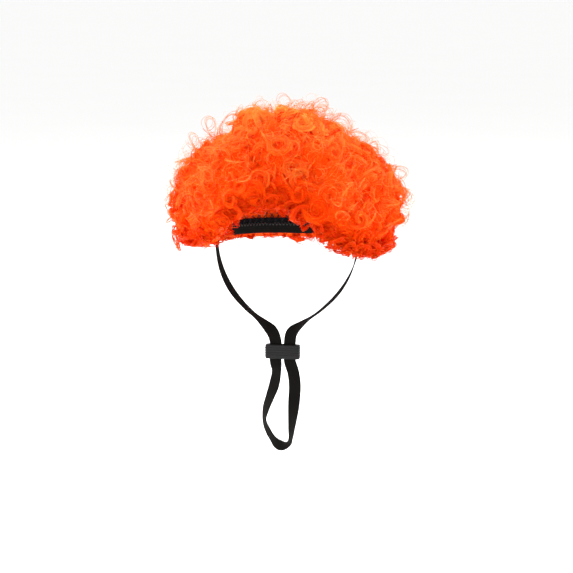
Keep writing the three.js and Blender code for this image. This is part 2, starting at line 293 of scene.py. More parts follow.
class HairForm:
    """How far the hair solid stands off the head, read by rays and smoothed into one soft surface."""

    COLUMNS = 120
    ROWS = 40
    START_LIFT = 0.060
    LEAST_LIFT = 0.022
    SMOOTHINGS = 3
    CROWN_ROWS = 3

    def __init__(self):
        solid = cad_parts["hair"].data
        tree = BVHTree.FromPolygons(
            [corner.co for corner in solid.vertices],
            [face.vertices for face in solid.polygons],
        )
        angles = np.arange(self.COLUMNS) * 360 / self.COLUMNS
        shares = np.linspace(0, 1, self.ROWS)
        grid_angles, grid_shares = np.meshgrid(angles, shares)
        start, _, _, out = hair_axes(grid_angles, grid_shares, self.START_LIFT)
        lifts = np.full(grid_angles.shape, self.LEAST_LIFT)
        for spot in np.ndindex(lifts.shape):
            ray_start = Vector(start[spot])
            hit, _, _, way = tree.ray_cast(ray_start, Vector(-out[spot]), self.START_LIFT)
            if hit is not None:
                lifts[spot] = max(self.LEAST_LIFT, self.START_LIFT - way)
        for _ in range(self.SMOOTHINGS):
            lifts = (np.roll(lifts, 1, 1) + 2 * lifts + np.roll(lifts, -1, 1)) / 4
            padded = np.pad(lifts, ((1, 1), (0, 0)), mode="edge")
            lifts = (padded[:-2] + 2 * lifts + padded[2:]) / 4
        lifts[: self.CROWN_ROWS] = lifts[: self.CROWN_ROWS].mean()
        for angle, share, angle_reach, share_reach, swell in HAIR_SWELLS:
            away = ((grid_angles - angle + 180) % 360 - 180) / angle_reach
            lifts = lifts + swell * np.exp(-(away**2) - ((grid_shares - share) / share_reach) ** 2)
        self.lifts = lifts

    def lift(self, angle, share):
        """The smoothed lift at angles and shares."""
        column = (np.asarray(angle, float) % 360) * self.COLUMNS / 360
        row = np.clip(share, 0, 1) * (self.ROWS - 1)
        left = np.floor(column).astype(int)
        above = np.minimum(np.floor(row).astype(int), self.ROWS - 2)
        across = column - left
        along = row - above
        right = (left + 1) % self.COLUMNS
        left = left % self.COLUMNS
        upper = self.lifts[above, left] * (1 - across) + self.lifts[above, right] * across
        lower = self.lifts[above + 1, left] * (1 - across) + self.lifts[above + 1, right] * across
        return upper * (1 - along) + lower * along


# Meshes

def finish_piece(name, mesh, material, replaced=()):
    """An object for a mesh that rides with the wig, with its finish and the solids that it stands for."""
    mesh.shade_smooth()
    piece = bpy.data.objects.new(name, mesh)
    bpy.context.scene.collection.objects.link(piece)
    mesh.materials.append(material)
    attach(piece, BODY)
    if replaced:
        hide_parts(*replaced)
    return piece


def add_values(mesh, name, values):
    """A number for each vertex of a mesh."""
    attribute = mesh.attributes.new(name, "FLOAT", "POINT")
    attribute.data.foreach_set("value", np.ascontiguousarray(values, np.float32))


def add_vectors(mesh, name, values):
    """A vector for each vertex of a mesh."""
    attribute = mesh.attributes.new(name, "FLOAT_VECTOR", "POINT")
    attribute.data.foreach_set("vector", np.ascontiguousarray(values, np.float32).ravel())


def triangle_mesh(name, corners, triangles):
    """A mesh from arrays of corners and triangles."""
    mesh = bpy.data.meshes.new(name)
    mesh.vertices.add(len(corners))
    mesh.vertices.foreach_set("co", np.ascontiguousarray(corners, np.float32).ravel())
    mesh.loops.add(triangles.size)
    mesh.loops.foreach_set("vertex_index", np.ascontiguousarray(triangles, np.int32).ravel())
    mesh.polygons.add(len(triangles))
    mesh.polygons.foreach_set("loop_start", np.arange(0, triangles.size, 3, dtype=np.int32))
    mesh.update(calc_edges=True)
    return mesh


def strand_frames(lines):
    """Two directions across each line at each of its points, carried along without twist."""
    along = unit(np.gradient(lines, axis=1))
    aside = np.roll(along[:, 0], 1, axis=-1) + np.array((0.31, 0.17, 0.53))  # any direction but along
    first = np.cross(along[:, 0], aside)
    normals = np.empty_like(lines)
    normals[:, 0] = unit(first)
    for step in range(1, lines.shape[1]):
        carried = normals[:, step - 1]
        here = along[:, step]
        normals[:, step] = unit(carried - here * np.sum(carried * here, -1, keepdims=True))
    return normals, np.cross(along, normals)


STRAND_SIDES = 3
STRAND_LEVELS = ((0, 1),) * STRAND_SIDES  # how far across its strip each side of a strand starts and ends


def strand_mesh(name, lines, radii, tones=None, reaches=None):
    """Closed tubes along lines (strands, points, 3), with a radius for each point."""
    normals, binormals = strand_frames(lines)
    turns = np.arange(STRAND_SIDES) * 2 * np.pi / STRAND_SIDES
    spread = (
        normals[:, :, None] * np.cos(turns)[:, None]
        + binormals[:, :, None] * np.sin(turns)[:, None]
    )
    corners = lines[:, :, None] + spread * radii[:, :, None, None]
    return tube_mesh(name, corners, STRAND_LEVELS, tones, reaches)


# A flat bundle's section: shares of its half width and half thickness
BUNDLE_SECTION = np.array(((1, 0), (0.5, 1), (-0.5, 1), (-1, 0), (-0.5, -1), (0.5, -1)))
BUNDLE_LEVELS = np.stack((BUNDLE_SECTION[:, 0], np.roll(BUNDLE_SECTION[:, 0], -1)), -1) / 2 + 0.5


def bundle_mesh(name, lines, half_widths, half_thicknesses, tones, reaches):
    """Closed flat tubes along lines, which lie in the plane that each line turns in."""
    along = unit(np.gradient(lines, axis=1))
    axis = unit(np.cross(along[:, :-1], along[:, 1:]).sum(axis=1))[:, None]
    flat = unit(axis - along * np.sum(axis * along, -1, keepdims=True))
    sideways = np.cross(flat, along)
    corners = (
        lines[:, :, None]
        + sideways[:, :, None] * (half_widths[..., None] * BUNDLE_SECTION[:, 0])[..., None]
        + flat[:, :, None] * (half_thicknesses[..., None] * BUNDLE_SECTION[:, 1])[..., None]
    )
    return tube_mesh(name, moved_off_cap(corners), BUNDLE_LEVELS, tones, reaches)


def tube_mesh(name, corners, levels, tones, reaches):
    """Closed tubes from the corners of their sections (tubes, points, sides, 3).

    Fibre also has a tone for each tube, and for each point how far out of the hair it is.
    """
    tubes, points, sides = corners.shape[:3]
    own = tube_triangles(points, sides)
    triangles = own[None] + (np.arange(tubes) * points * sides)[:, None, None]
    mesh = triangle_mesh(name, corners.reshape(-1, 3), triangles.reshape(-1, 3))
    if tones is not None:
        add_values(mesh, "tone", np.repeat(tones, points * sides))
        add_values(mesh, "reach", np.repeat(reaches.ravel(), sides))
    add_strip_map(mesh, tubes, points, levels)
    return mesh


def tube_triangles(points, sides):
    """Triangles of one closed tube with that many points along it and sides round it."""
    faces = []
    for step in range(points - 1):
        for side in range(sides):
            here = step * sides + side
            beside = step * sides + (side + 1) % sides
            faces.append((here, beside, beside + sides))
            faces.append((here, beside + sides, here + sides))
    last = (points - 1) * sides
    for side in range(1, sides - 1):
        faces.append((0, side + 1, side))
        faces.append((last, last + side, last + side + 1))
    return np.array(faces)


MAP_COLUMNS = 4  # of strips side by side
MAP_FILL = 0.9  # share of its place that a strip takes up


def add_strip_map(mesh, tubes, points, levels):
    """A map where each tube has a strip of its own, from root to tip."""
    rows = math.ceil(tubes / MAP_COLUMNS)
    faces = []
    for step in range(points - 1):
        start, end = step / points, (step + 1) / points
        for here, beside in levels:
            faces.append(((start, here), (start, beside), (end, beside)))
            faces.append(((start, here), (end, beside), (end, here)))
    end_width = 0.5 / points
    for _ in range(len(levels) - 2):
        faces.append(((0, 0), (0, 1), (end_width, 0.5)))
        faces.append(((1 - 2 * end_width, 0), (1 - 2 * end_width, 1), (1 - end_width, 0.5)))
    index = np.arange(tubes)
    place = np.stack((index % MAP_COLUMNS, index // MAP_COLUMNS), -1)
    size = np.array((1 / MAP_COLUMNS, 1 / rows))
    uv = (place[:, None, None] + 0.5 * (1 - MAP_FILL) + np.array(faces)[None] * MAP_FILL) * size
    layer = mesh.uv_layers.new(name=BAKE_MAP)
    layer.data.foreach_set("uv", np.ascontiguousarray(uv, np.float32).ravel())


def lofted_mesh(name, rings, ring_joined=True):
    """A skin through rings of points (rings, points, 3), joined from last to first or with flat ends."""
    count, points = rings.shape[:2]
    faces = []
    for ring in range(count if ring_joined else count - 1):
        here = ring * points
        after = (ring + 1) % count * points
        for point in range(points):
            beside = (point + 1) % points
            faces.append((here + point, here + beside, after + beside, after + point))
    if not ring_joined:
        faces.append(tuple(reversed(range(points))))
        faces.append(tuple(range((count - 1) * points, count * points)))
    mesh = bpy.data.meshes.new(name)
    mesh.from_pydata(rings.reshape(-1, 3).tolist(), [], faces)
    add_weave_map(mesh, rings, ring_joined)
    return mesh


def add_weave_map(mesh, rings, ring_joined):
    """A map in metres for a lofted skin: along its length and round its section."""
    count, points = rings.shape[:2]
    middle = rings.mean(axis=1)
    steps = np.linalg.norm(np.diff(np.concatenate((middle, middle[:1])), axis=0), axis=1)
    along = np.concatenate(((0,), np.cumsum(steps)))
    section = np.concatenate((rings[0], rings[0][:1]))
    around = np.concatenate(((0,), np.cumsum(np.linalg.norm(np.diff(section, axis=0), axis=1))))
    layer = mesh.uv_layers.new(name=WEAVE_MAP)
    spans = count if ring_joined else count - 1
    uv = np.zeros((spans, points, 4, 2))
    uv[:, :, (0, 1), 0] = along[:spans, None, None]
    uv[:, :, (2, 3), 0] = along[1 : spans + 1, None, None]
    uv[:, :, (0, 3), 1] = around[None, :points, None]
    uv[:, :, (1, 2), 1] = around[None, 1 : points + 1, None]
    flat = uv.reshape(-1, 2)
    ends = np.zeros((len(mesh.loops) - len(flat), 2))
    layer.data.foreach_set("uv", np.concatenate((flat, ends)).astype(np.float32).ravel())


def thread_piece(name, lines, width, material):
    """Sewing thread along lines of the same number of points."""
    radii = np.full(lines.shape[:2], width / 2)
    return finish_piece(name, strand_mesh(name, lines, radii), material)


# Materials

def new_node(tree, kind, **values):
    """A node with its own settings, and its inputs by name."""
    node = tree.nodes.new(kind)
    for name, value in values.items():
        if name in node.bl_rna.properties:
            setattr(node, name, value)
        else:
            node.inputs[name].default_value = value
    return node


def math_node(tree, operation, first, second=None):
    """A math node on two values, which are numbers or outputs of other nodes. Returns its output."""
    node = tree.nodes.new("ShaderNodeMath")
    node.operation = operation
    for place, value in enumerate((first, second)):
        if isinstance(value, bpy.types.NodeSocket):
            tree.links.new(value, node.inputs[place])
        elif value is not None:
            node.inputs[place].default_value = value
    return node.outputs[0]


def mixed_colour(tree, factor, first, second):
    """The mix of two colours by a factor. Returns its output."""
    node = tree.nodes.new("ShaderNodeMix")
    node.data_type = "RGBA"
    for place, value in (("Factor", factor), ("A", first), ("B", second)):
        socket = next(x for x in node.inputs if x.name == place and x.enabled)
        if isinstance(value, bpy.types.NodeSocket):
            tree.links.new(value, socket)
        else:
            socket.default_value = value
    return next(x for x in node.outputs if x.enabled)


def ranged(tree, value, from_range, to_range, smooth=False):
    """A value moved from one range to another. Returns its output."""
    node = new_node(tree, "ShaderNodeMapRange", interpolation_type="SMOOTHSTEP" if smooth else "LINEAR")
    tree.links.new(value, node.inputs["Value"])
    for name, limit in zip(("From Min", "From Max", "To Min", "To Max"), (*from_range, *to_range)):
        node.inputs[name].default_value = limit
    return node.outputs["Result"]


def new_group(name, inputs, outputs):
    """An empty shader node group with named inputs and outputs. Returns it with its two end nodes."""
    group = bpy.data.node_groups.new(name, "ShaderNodeTree")
    for socket, (kind, default) in inputs.items():
        made = group.interface.new_socket(name=socket, in_out="INPUT", socket_type="NodeSocket" + kind)
        made.default_value = default
    for socket, kind in outputs.items():
        group.interface.new_socket(name=socket, in_out="OUTPUT", socket_type="NodeSocket" + kind)
    return group, group.nodes.new("NodeGroupInput"), group.nodes.new("NodeGroupOutput")


WHOLE = (0, 1)  # the range of a share
MOST_NOISE = (0.3, 0.7)  # the range that holds most values of a noise

# Where a strand takes up its colours, by its reach out of the hair and by its tone: the root colour is
# painted shade deep in the hair, and the tip colour comes in by reach as painted light at its outside
BODY_REACH = (0, 0.5)
TIP_REACH = (0.7, 1)
PAINTED_LIGHT_BY_REACH = (0, 0.16)
PALE_TONES = (0, 1.25)
TIP_BY_TONE = (-0.23, 0.77)
# Tones over which the painted shade colour comes in, for the lowest curls that lie in shade
PAINTED_SHADE_TONES = (-0.6, 0.15)
FIBRE_ROUGHNESS = (0.42, 0.6)


def strand_tint_group():
    """Colour of curled fibre, with painted shade deep in the hair and painted light at its outside, and a
    tone for each strand.
    """
    name = "strand_tint"
    if name in bpy.data.node_groups:
        return bpy.data.node_groups[name]
    grey = (0.5, 0.5, 0.5, 1)
    inputs = {socket: ("Float", 0.5) for socket in ("Reach", "Tone")}
    inputs.update({socket: ("Color", grey) for socket in ("Deep", "Root", "Body", "Tip")})
    group, given, made = new_group(name, inputs, {"Colour": "Color", "Roughness": "Float"})
    body_share = ranged(group, given.outputs["Reach"], BODY_REACH, WHOLE, smooth=True)
    painted_light_way = ranged(group, given.outputs["Reach"], TIP_REACH, PAINTED_LIGHT_BY_REACH, smooth=True)
    tone_lift = ranged(group, given.outputs["Tone"], PALE_TONES, TIP_BY_TONE)
    painted_shade_share = ranged(group, given.outputs["Tone"], PAINTED_SHADE_TONES, WHOLE[::-1])
    tip_share = math_node(group, "ADD", painted_light_way, tone_lift)
    tip_share = math_node(group, "MINIMUM", math_node(group, "MAXIMUM", tip_share, 0.0), 1.0)
    pale = mixed_colour(group, tip_share, given.outputs["Body"], given.outputs["Tip"])
    whole = mixed_colour(group, body_share, given.outputs["Root"], pale)
    whole = mixed_colour(group, painted_shade_share, whole, given.outputs["Deep"])
    group.links.new(whole, made.inputs["Colour"])
    roughness = ranged(group, given.outputs["Tone"], WHOLE, FIBRE_ROUGHNESS)
    group.links.new(roughness, made.inputs["Roughness"])
    return group


# The relief of woven elastic: how far its ribs shift the picks, and the shares of both in its height
PICK_SHIFT = 1.4
PICK_SHARE = 0.6
RIB_SHARE = 0.4
WORN_HEIGHTS = (0.2, 1)  # where the weave is worn


def woven_elastic_group():
    """Ribs along an elastic crossed by fine picks, from a map in metres."""
    name = "woven_elastic"
    if name in bpy.data.node_groups:
        return bpy.data.node_groups[name]
    inputs = {
        "Along": ("Float", 0.0),
        "Around": ("Float", 0.0),
        "Pick": ("Float", 0.0008),
        "Rib": ("Float", 0.0012),
    }
    group, given, made = new_group(name, inputs, {"Height": "Float", "Worn": "Float"})

    def turn(distance, step):
        scaled = math_node(group, "MULTIPLY", given.outputs[distance], 2 * math.pi)
        return math_node(group, "DIVIDE", scaled, given.outputs[step])

    rib = math_node(group, "COSINE", turn("Around", "Rib"))
    shift = math_node(group, "MULTIPLY", rib, PICK_SHIFT)
    pick = math_node(group, "SINE", math_node(group, "ADD", turn("Along", "Pick"), shift))
    pick_height = math_node(group, "MULTIPLY", pick, PICK_SHARE)
    height = math_node(group, "ADD", pick_height, math_node(group, "MULTIPLY", rib, RIB_SHARE))
    group.links.new(ranged(group, height, (-1, 1), WHOLE), made.inputs["Height"])
    group.links.new(ranged(group, height, WORN_HEIGHTS, WHOLE, smooth=True), made.inputs["Worn"])
    return group


def lint_group():
    """Soft uneven patches and fine specks, as on cloth and plastic that has been handled."""
    name = "lint"
    if name in bpy.data.node_groups:
        return bpy.data.node_groups[name]
    inputs = {"Patch Scale": ("Float", 60.0), "Speck Scale": ("Float", 900.0)}
    group, given, made = new_group(name, inputs, {"Patch": "Float", "Speck": "Float"})
    place = new_node(group, "ShaderNodeTexCoord")
    for scale, output, detail in (("Patch Scale", "Patch", 3.0), ("Speck Scale", "Speck", 1.0)):
        noise = new_node(group, "ShaderNodeTexNoise", Detail=detail)
        group.links.new(place.outputs["Object"], noise.inputs["Vector"])
        group.links.new(given.outputs[scale], noise.inputs["Scale"])
        group.links.new(noise.outputs["Fac"], made.inputs[output])
    return group


def new_material(name, **sockets):
    """A material whose Principled shader has these plain values. Returns it, its tree and the shader."""
    material = bpy.data.materials.new(name)
    material.use_nodes = True
    tree = material.node_tree
    shader = tree.nodes["Principled BSDF"]
    for socket, value in sockets.items():
        shader.inputs[socket.replace("_", " ")].default_value = value
    return material, tree, shader


def placed_group(tree, group):
    """A node that holds a group."""
    return new_node(tree, "ShaderNodeGroup", node_tree=group)


def bump(tree, shader, height, strength, distance):
    """Feeds a height to the shader as a bump."""
    node = new_node(tree, "ShaderNodeBump", Strength=strength, Distance=distance)
    tree.links.new(height, node.inputs["Height"])
    tree.links.new(node.outputs["Normal"], shader.inputs["Normal"])


def opaque(rgb):
    """A colour with full cover."""
    return (*rgb, 1.0)


def paler(rgb, gain, lift=0.0):
    """A colour whose parts are raised by a gain and a lift, with full cover."""
    return opaque(min(1.0, gain * part + lift) for part in rgb)


def set_colour_and_roughness(tree, shader, rgb, pale, share, roughness):
    """Feeds the shader a colour, mixed by a share with its paler form, and a roughness."""
    tree.links.new(mixed_colour(tree, share, opaque(rgb), pale), shader.inputs["Base Color"])
    tree.links.new(roughness, shader.inputs["Roughness"])


def fibre_material(name, hair, tip_colour, reach_out=None, tone=None):
    """Curled synthetic fibre. Reach and tone come from the strands unless the material makes its own."""
    material, tree, shader = new_material(
        name, Specular_IOR_Level=0.025, Sheen_Weight=0.010, Sheen_Roughness=0.4,
        Sheen_Tint=opaque((1.0, 0.4, 0.12)), Subsurface_Weight=0.5, Subsurface_Scale=0.0006,
        Subsurface_Radius=(1.0, 0.08, 0.02),
    )
    tint = placed_group(tree, strand_tint_group())
    tint.inputs["Deep"].default_value = opaque(hair.deep_colour)
    tint.inputs["Root"].default_value = opaque(hair.root_colour)
    tint.inputs["Body"].default_value = opaque(hair.body_colour)
    tint.inputs["Tip"].default_value = opaque(tip_colour)
    for socket, own in (("Reach", reach_out), ("Tone", tone)):
        if own is None:
            source = new_node(tree, "ShaderNodeAttribute", attribute_name=socket.lower()).outputs["Fac"]
        else:
            source = own(tree)
        tree.links.new(source, tint.inputs[socket])
    tree.links.new(tint.outputs["Colour"], shader.inputs["Base Color"])
    tree.links.new(tint.outputs["Roughness"], shader.inputs["Roughness"])
    return material, tree, shader


def streak_noise(tree):
    """Height of the streaks along a bundle, from how far across it and along it a spot is."""
    place = new_node(tree, "ShaderNodeAttribute", attribute_name="streaks")
    noise = new_node(tree, "ShaderNodeTexNoise", Scale=2.2, Detail=2.0)
    tree.links.new(place.outputs["Vector"], noise.inputs["Vector"])
    return noise.outputs["Fac"]


STREAK_TONES = (-0.2, 0.2)  # added to a bundle's own tone
# The mat lies deep, so its low reaches give it mostly the root colour, painted shade, in random patches
MAT_REACHES = (0.05, 0.3)
MAT_TONES = (0.0, 0.6)


def bundle_material(hair):
    """Bundles of fibre inside the curls, streaked along their length."""
    def streaked_tone(tree):
        own = new_node(tree, "ShaderNodeAttribute", attribute_name="tone").outputs["Fac"]
        return math_node(tree, "ADD", own, ranged(tree, streak_noise(tree), MOST_NOISE, STREAK_TONES))

    material, tree, shader = fibre_material("bundled_fibre", hair, hair.tip_colour, tone=streaked_tone)
    bump(tree, shader, streak_noise(tree), strength=0.7, distance=0.0005)
    return material


def mat_material(hair):
    """The mat of fibre that the curls grow from, uneven in colour and matted in relief."""
    def patches(tree):
        lint = placed_group(tree, lint_group())
        return ranged(tree, lint.outputs["Patch"], MOST_NOISE, MAT_REACHES)

    def specks(tree):
        lint = placed_group(tree, lint_group())
        return ranged(tree, lint.outputs["Speck"], MOST_NOISE, MAT_TONES)

    material, tree, shader = fibre_material("fibre_mat", hair, hair.tip_colour, patches, specks)
    place = new_node(tree, "ShaderNodeTexCoord")
    wave = new_node(tree, "ShaderNodeTexWave", wave_type="RINGS", Scale=140.0, Distortion=9.0, Detail=3.0)
    wave.inputs["Detail Scale"].default_value = 1.6
    tree.links.new(place.outputs["Object"], wave.inputs["Vector"])
    bump(tree, shader, wave.outputs["Fac"], strength=0.8, distance=0.001)
    return material


# Ranges of the lint that shows on each finish, of what it does there, and of the finish's roughness
WORN_PATCHES = (0.35, 0.7)
WORN_SHARES = (0.3, 1)
ELASTIC_ROUGHNESS = (0.62, 0.85)
NET_SPECKS = (0.35, 0.75)
NET_ROUGHNESS = (0.6, 0.85)
THREAD_ROUGHNESS = (0.5, 0.7)
HANDLED_PATCHES = (0.45, 0.8)
HANDLED_SHARES = (0, 0.6)
PLASTIC_ROUGHNESS = (0.34, 0.52)
PLASTIC_GRAIN = 2600.0


def elastic_material(name, rgb, pick, rib):
    """Woven elastic: ribs and picks in relief, paler where the weave is worn, with a little lint."""
    material, tree, shader = new_material(
        name, Specular_IOR_Level=0.04, Sheen_Weight=0.01, Sheen_Roughness=0.5
    )
    spots = new_node(tree, "ShaderNodeUVMap", uv_map=WEAVE_MAP)
    parts = new_node(tree, "ShaderNodeSeparateXYZ")
    tree.links.new(spots.outputs["UV"], parts.inputs["Vector"])
    weave = placed_group(tree, woven_elastic_group())
    weave.inputs["Pick"].default_value = pick
    weave.inputs["Rib"].default_value = rib
    tree.links.new(parts.outputs["X"], weave.inputs["Along"])
    tree.links.new(parts.outputs["Y"], weave.inputs["Around"])
    lint = placed_group(tree, lint_group())
    patchy = ranged(tree, lint.outputs["Patch"], WORN_PATCHES, WORN_SHARES)
    worn = math_node(tree, "MULTIPLY", weave.outputs["Worn"], patchy)
    roughness = ranged(tree, lint.outputs["Speck"], MOST_NOISE, ELASTIC_ROUGHNESS)
    set_colour_and_roughness(tree, shader, rgb, paler(rgb, gain=2.2, lift=0.002), worn, roughness)
    bump(tree, shader, weave.outputs["Height"], strength=0.7, distance=0.00015)
    return material


def net_material(rgb):
    """Net cord, with lint."""
    material, tree, shader = new_material(
        "net_cord", Specular_IOR_Level=0.12, Sheen_Weight=0.04, Sheen_Roughness=0.5
    )
    lint = placed_group(tree, lint_group())
    specks = ranged(tree, lint.outputs["Speck"], NET_SPECKS, WHOLE)
    roughness = ranged(tree, lint.outputs["Patch"], MOST_NOISE, NET_ROUGHNESS)
    set_colour_and_roughness(tree, shader, rgb, paler(rgb, gain=3, lift=0.01), specks, roughness)
    bump(tree, shader, lint.outputs["Speck"], strength=0.4, distance=0.0002)
    return material


def thread_material(name, rgb):
    """Sewing thread, paler in specks."""
    material, tree, shader = new_material(
        name, Specular_IOR_Level=0.4, Sheen_Weight=0.1, Sheen_Roughness=0.4
    )
    lint = placed_group(tree, lint_group())
    specks = ranged(tree, lint.outputs["Speck"], MOST_NOISE, WHOLE)
    roughness = ranged(tree, lint.outputs["Patch"], MOST_NOISE, THREAD_ROUGHNESS)
    set_colour_and_roughness(tree, shader, rgb, paler(rgb, gain=1.8), specks, roughness)
    return material


def plastic_material(rgb):
    """Moulded plastic with a fine grain, paler and duller in patches where it has been handled."""
    material, tree, shader = new_material("moulded_plastic", Specular_IOR_Level=0.2)
    lint = placed_group(tree, lint_group())
    lint.inputs["Speck Scale"].default_value = PLASTIC_GRAIN
    patches = ranged(tree, lint.outputs["Patch"], HANDLED_PATCHES, HANDLED_SHARES)
    roughness = ranged(tree, lint.outputs["Patch"], MOST_NOISE, PLASTIC_ROUGHNESS)
    set_colour_and_roughness(tree, shader, rgb, paler(rgb, gain=2, lift=0.002), patches, roughness)
    bump(tree, shader, lint.outputs["Speck"], strength=0.25, distance=0.00005)
    return material


# Chin strap and slide

def smooth_line(points, steps):
    """A smooth line through points, with that many steps between each two of them."""
    points = np.asarray(points, float)
    padded = np.concatenate((2 * points[:1] - points[1:2], points, 2 * points[-1:] - points[-2:-1]))
    least_gap = 1e-4
    # Square roots of the distances between points, which keep the line from swinging out
    gaps = np.maximum(np.sum(np.diff(padded, axis=0) ** 2, axis=1) ** 0.25, least_gap)
    way = np.arange(steps)[:, None] / steps
    stretches = []
    for index in range(len(points) - 1):
        before, here, there, after = padded[index : index + 4]
        gap_before, gap, gap_after = gaps[index : index + 3]
        leave = gap * (
            (here - before) / gap_before - (there - before) / (gap_before + gap) + (there - here) / gap
        )
        arrive = gap * (
            (there - here) / gap - (after - here) / (gap + gap_after) + (after - there) / gap_after
        )
        bend = 3 * (there - here) - 2 * leave - arrive
        settle = 2 * (here - there) + leave + arrive
        stretches.append(here + leave * way + bend * way**2 + settle * way**3)
    return np.concatenate((*stretches, points[-1:]))


def strap_route():
    """Rows of the strap's middle and width: the left run, the loop and the right run."""
    flip = np.array((-1, 1, 1))
    right = [(np.multiply(spot, flip), np.multiply(wide, flip)) for spot, wide in reversed(STRAP_SIDE)]
    return [*STRAP_SIDE, *STRAP_LOOP, *right]


STRAP_STEPS = 6  # between two rows of its route

# The strap's section, in shares of its half thickness
STRAP_EDGE_ROUNDING = 0.4
STRAP_EDGE_FLAT = 0.45
STRAP_RIB_DEPTH = 0.22


def strap_section(settings):
    """Across and thick offsets round the strap's section, with ribs on both faces and rounded edges."""
    half_width, half_thick = settings.width / 2, settings.thickness / 2
    points_each = 2 * settings.ribs + 1
    across = np.linspace(-1, 1, points_each) * (half_width - STRAP_EDGE_ROUNDING * half_thick)
    rib_depth = STRAP_RIB_DEPTH * half_thick
    thick = half_thick - rib_depth * (np.arange(points_each) % 2 == 0)
    face = np.stack((across, thick), -1)
    edge_half = STRAP_EDGE_FLAT * half_thick
    edge = np.array(((half_width, edge_half), (half_width, -edge_half)))
    return np.concatenate((face, edge, face[::-1] * (1, -1), -edge))


def strap_frames():
    """Middle, width direction and thickness direction along the strap."""
    rows = strap_route()
    middle = smooth_line([spot for spot, _ in rows], STRAP_STEPS)
    wide = smooth_line([wide for _, wide in rows], STRAP_STEPS)
    along = unit(np.gradient(middle, axis=0))
    wide = unit(wide - along * np.sum(wide * along, -1, keepdims=True))
    return middle, wide, np.cross(along, wide)


class PETWIG_OT_chin_strap(bpy.types.Operator):
    """Make the flat elastic chin strap and the stitches that hold its ends"""

    bl_idname = "pet_wig.chin_strap"
    bl_label = "Chin strap"

    PICK = 0.0009
    STITCH_WIDTH = 0.0004
    STITCH_PROUD = 0.2  # of its width, from the strap's face to the middle of a stitch
    STITCH_POINTS = 8
    BOX_HALF_WIDTH = 0.0033
    BOX_ROWS = (2, 8)  # steps along the strap, from its end

    def execute(self, context):
        settings = context.scene.pet_wig.strap
        middle, wide, thick = strap_frames()
        section = strap_section(settings)
        rings = (
            middle[:, None]
            + wide[:, None] * section[None, :, :1]
            + thick[:, None] * section[None, :, 1:]
        )
        rib = settings.width / settings.ribs
        material = elastic_material("strap_elastic", settings.colour, self.PICK, rib)
        mesh = lofted_mesh("chin_strap", rings, ring_joined=False)
        strap = finish_piece("chin_strap_elastic", mesh, material, ["chin_strap"])
        self.sew_ends(context, middle, wide, thick, settings)
        return {"FINISHED"}

    def sew_ends(self, context, middle, wide, thick, settings):
        """A sewn box with a cross at each end of the strap."""
        lines = []
        for first, last in (self.BOX_ROWS, [len(middle) - 1 - row for row in self.BOX_ROWS]):
            corners = [(first, -1), (first, 1), (last, 1), (last, -1)]
            sides = [(0, 1), (1, 2), (2, 3), (3, 0), (0, 2), (1, 3)]
            inward = -np.sign(middle[first][0] * thick[first][0])
            rise = inward * (settings.thickness / 2 + self.STITCH_PROUD * self.STITCH_WIDTH)
            for start, end in sides:
                ends = []
                for row, side in (corners[start], corners[end]):
                    ends.append(middle[row] + wide[row] * side * self.BOX_HALF_WIDTH + thick[row] * rise)
                lines.append(np.linspace(*ends, self.STITCH_POINTS))
        material = thread_material("strap_thread", context.scene.pet_wig.cap.thread_colour)
        thread_piece("strap_stitches", np.array(lines), self.STITCH_WIDTH, material)


def rounded_rectangle(half_width, half_depth, corner, steps):
    """Points round a rectangle with rounded corners, from its lower right corner on."""
    points = []
    for turn, (side_x, side_y) in enumerate(((1, -1), (1, 1), (-1, 1), (-1, -1))):
        for step in range(steps + 1):
            angle = (turn - 1 + step / steps) * math.pi / 2
            points.append((
                side_x * (half_width - corner) + corner * math.cos(angle),
                side_y * (half_depth - corner) + corner * math.sin(angle),
            ))
    return np.array(points)


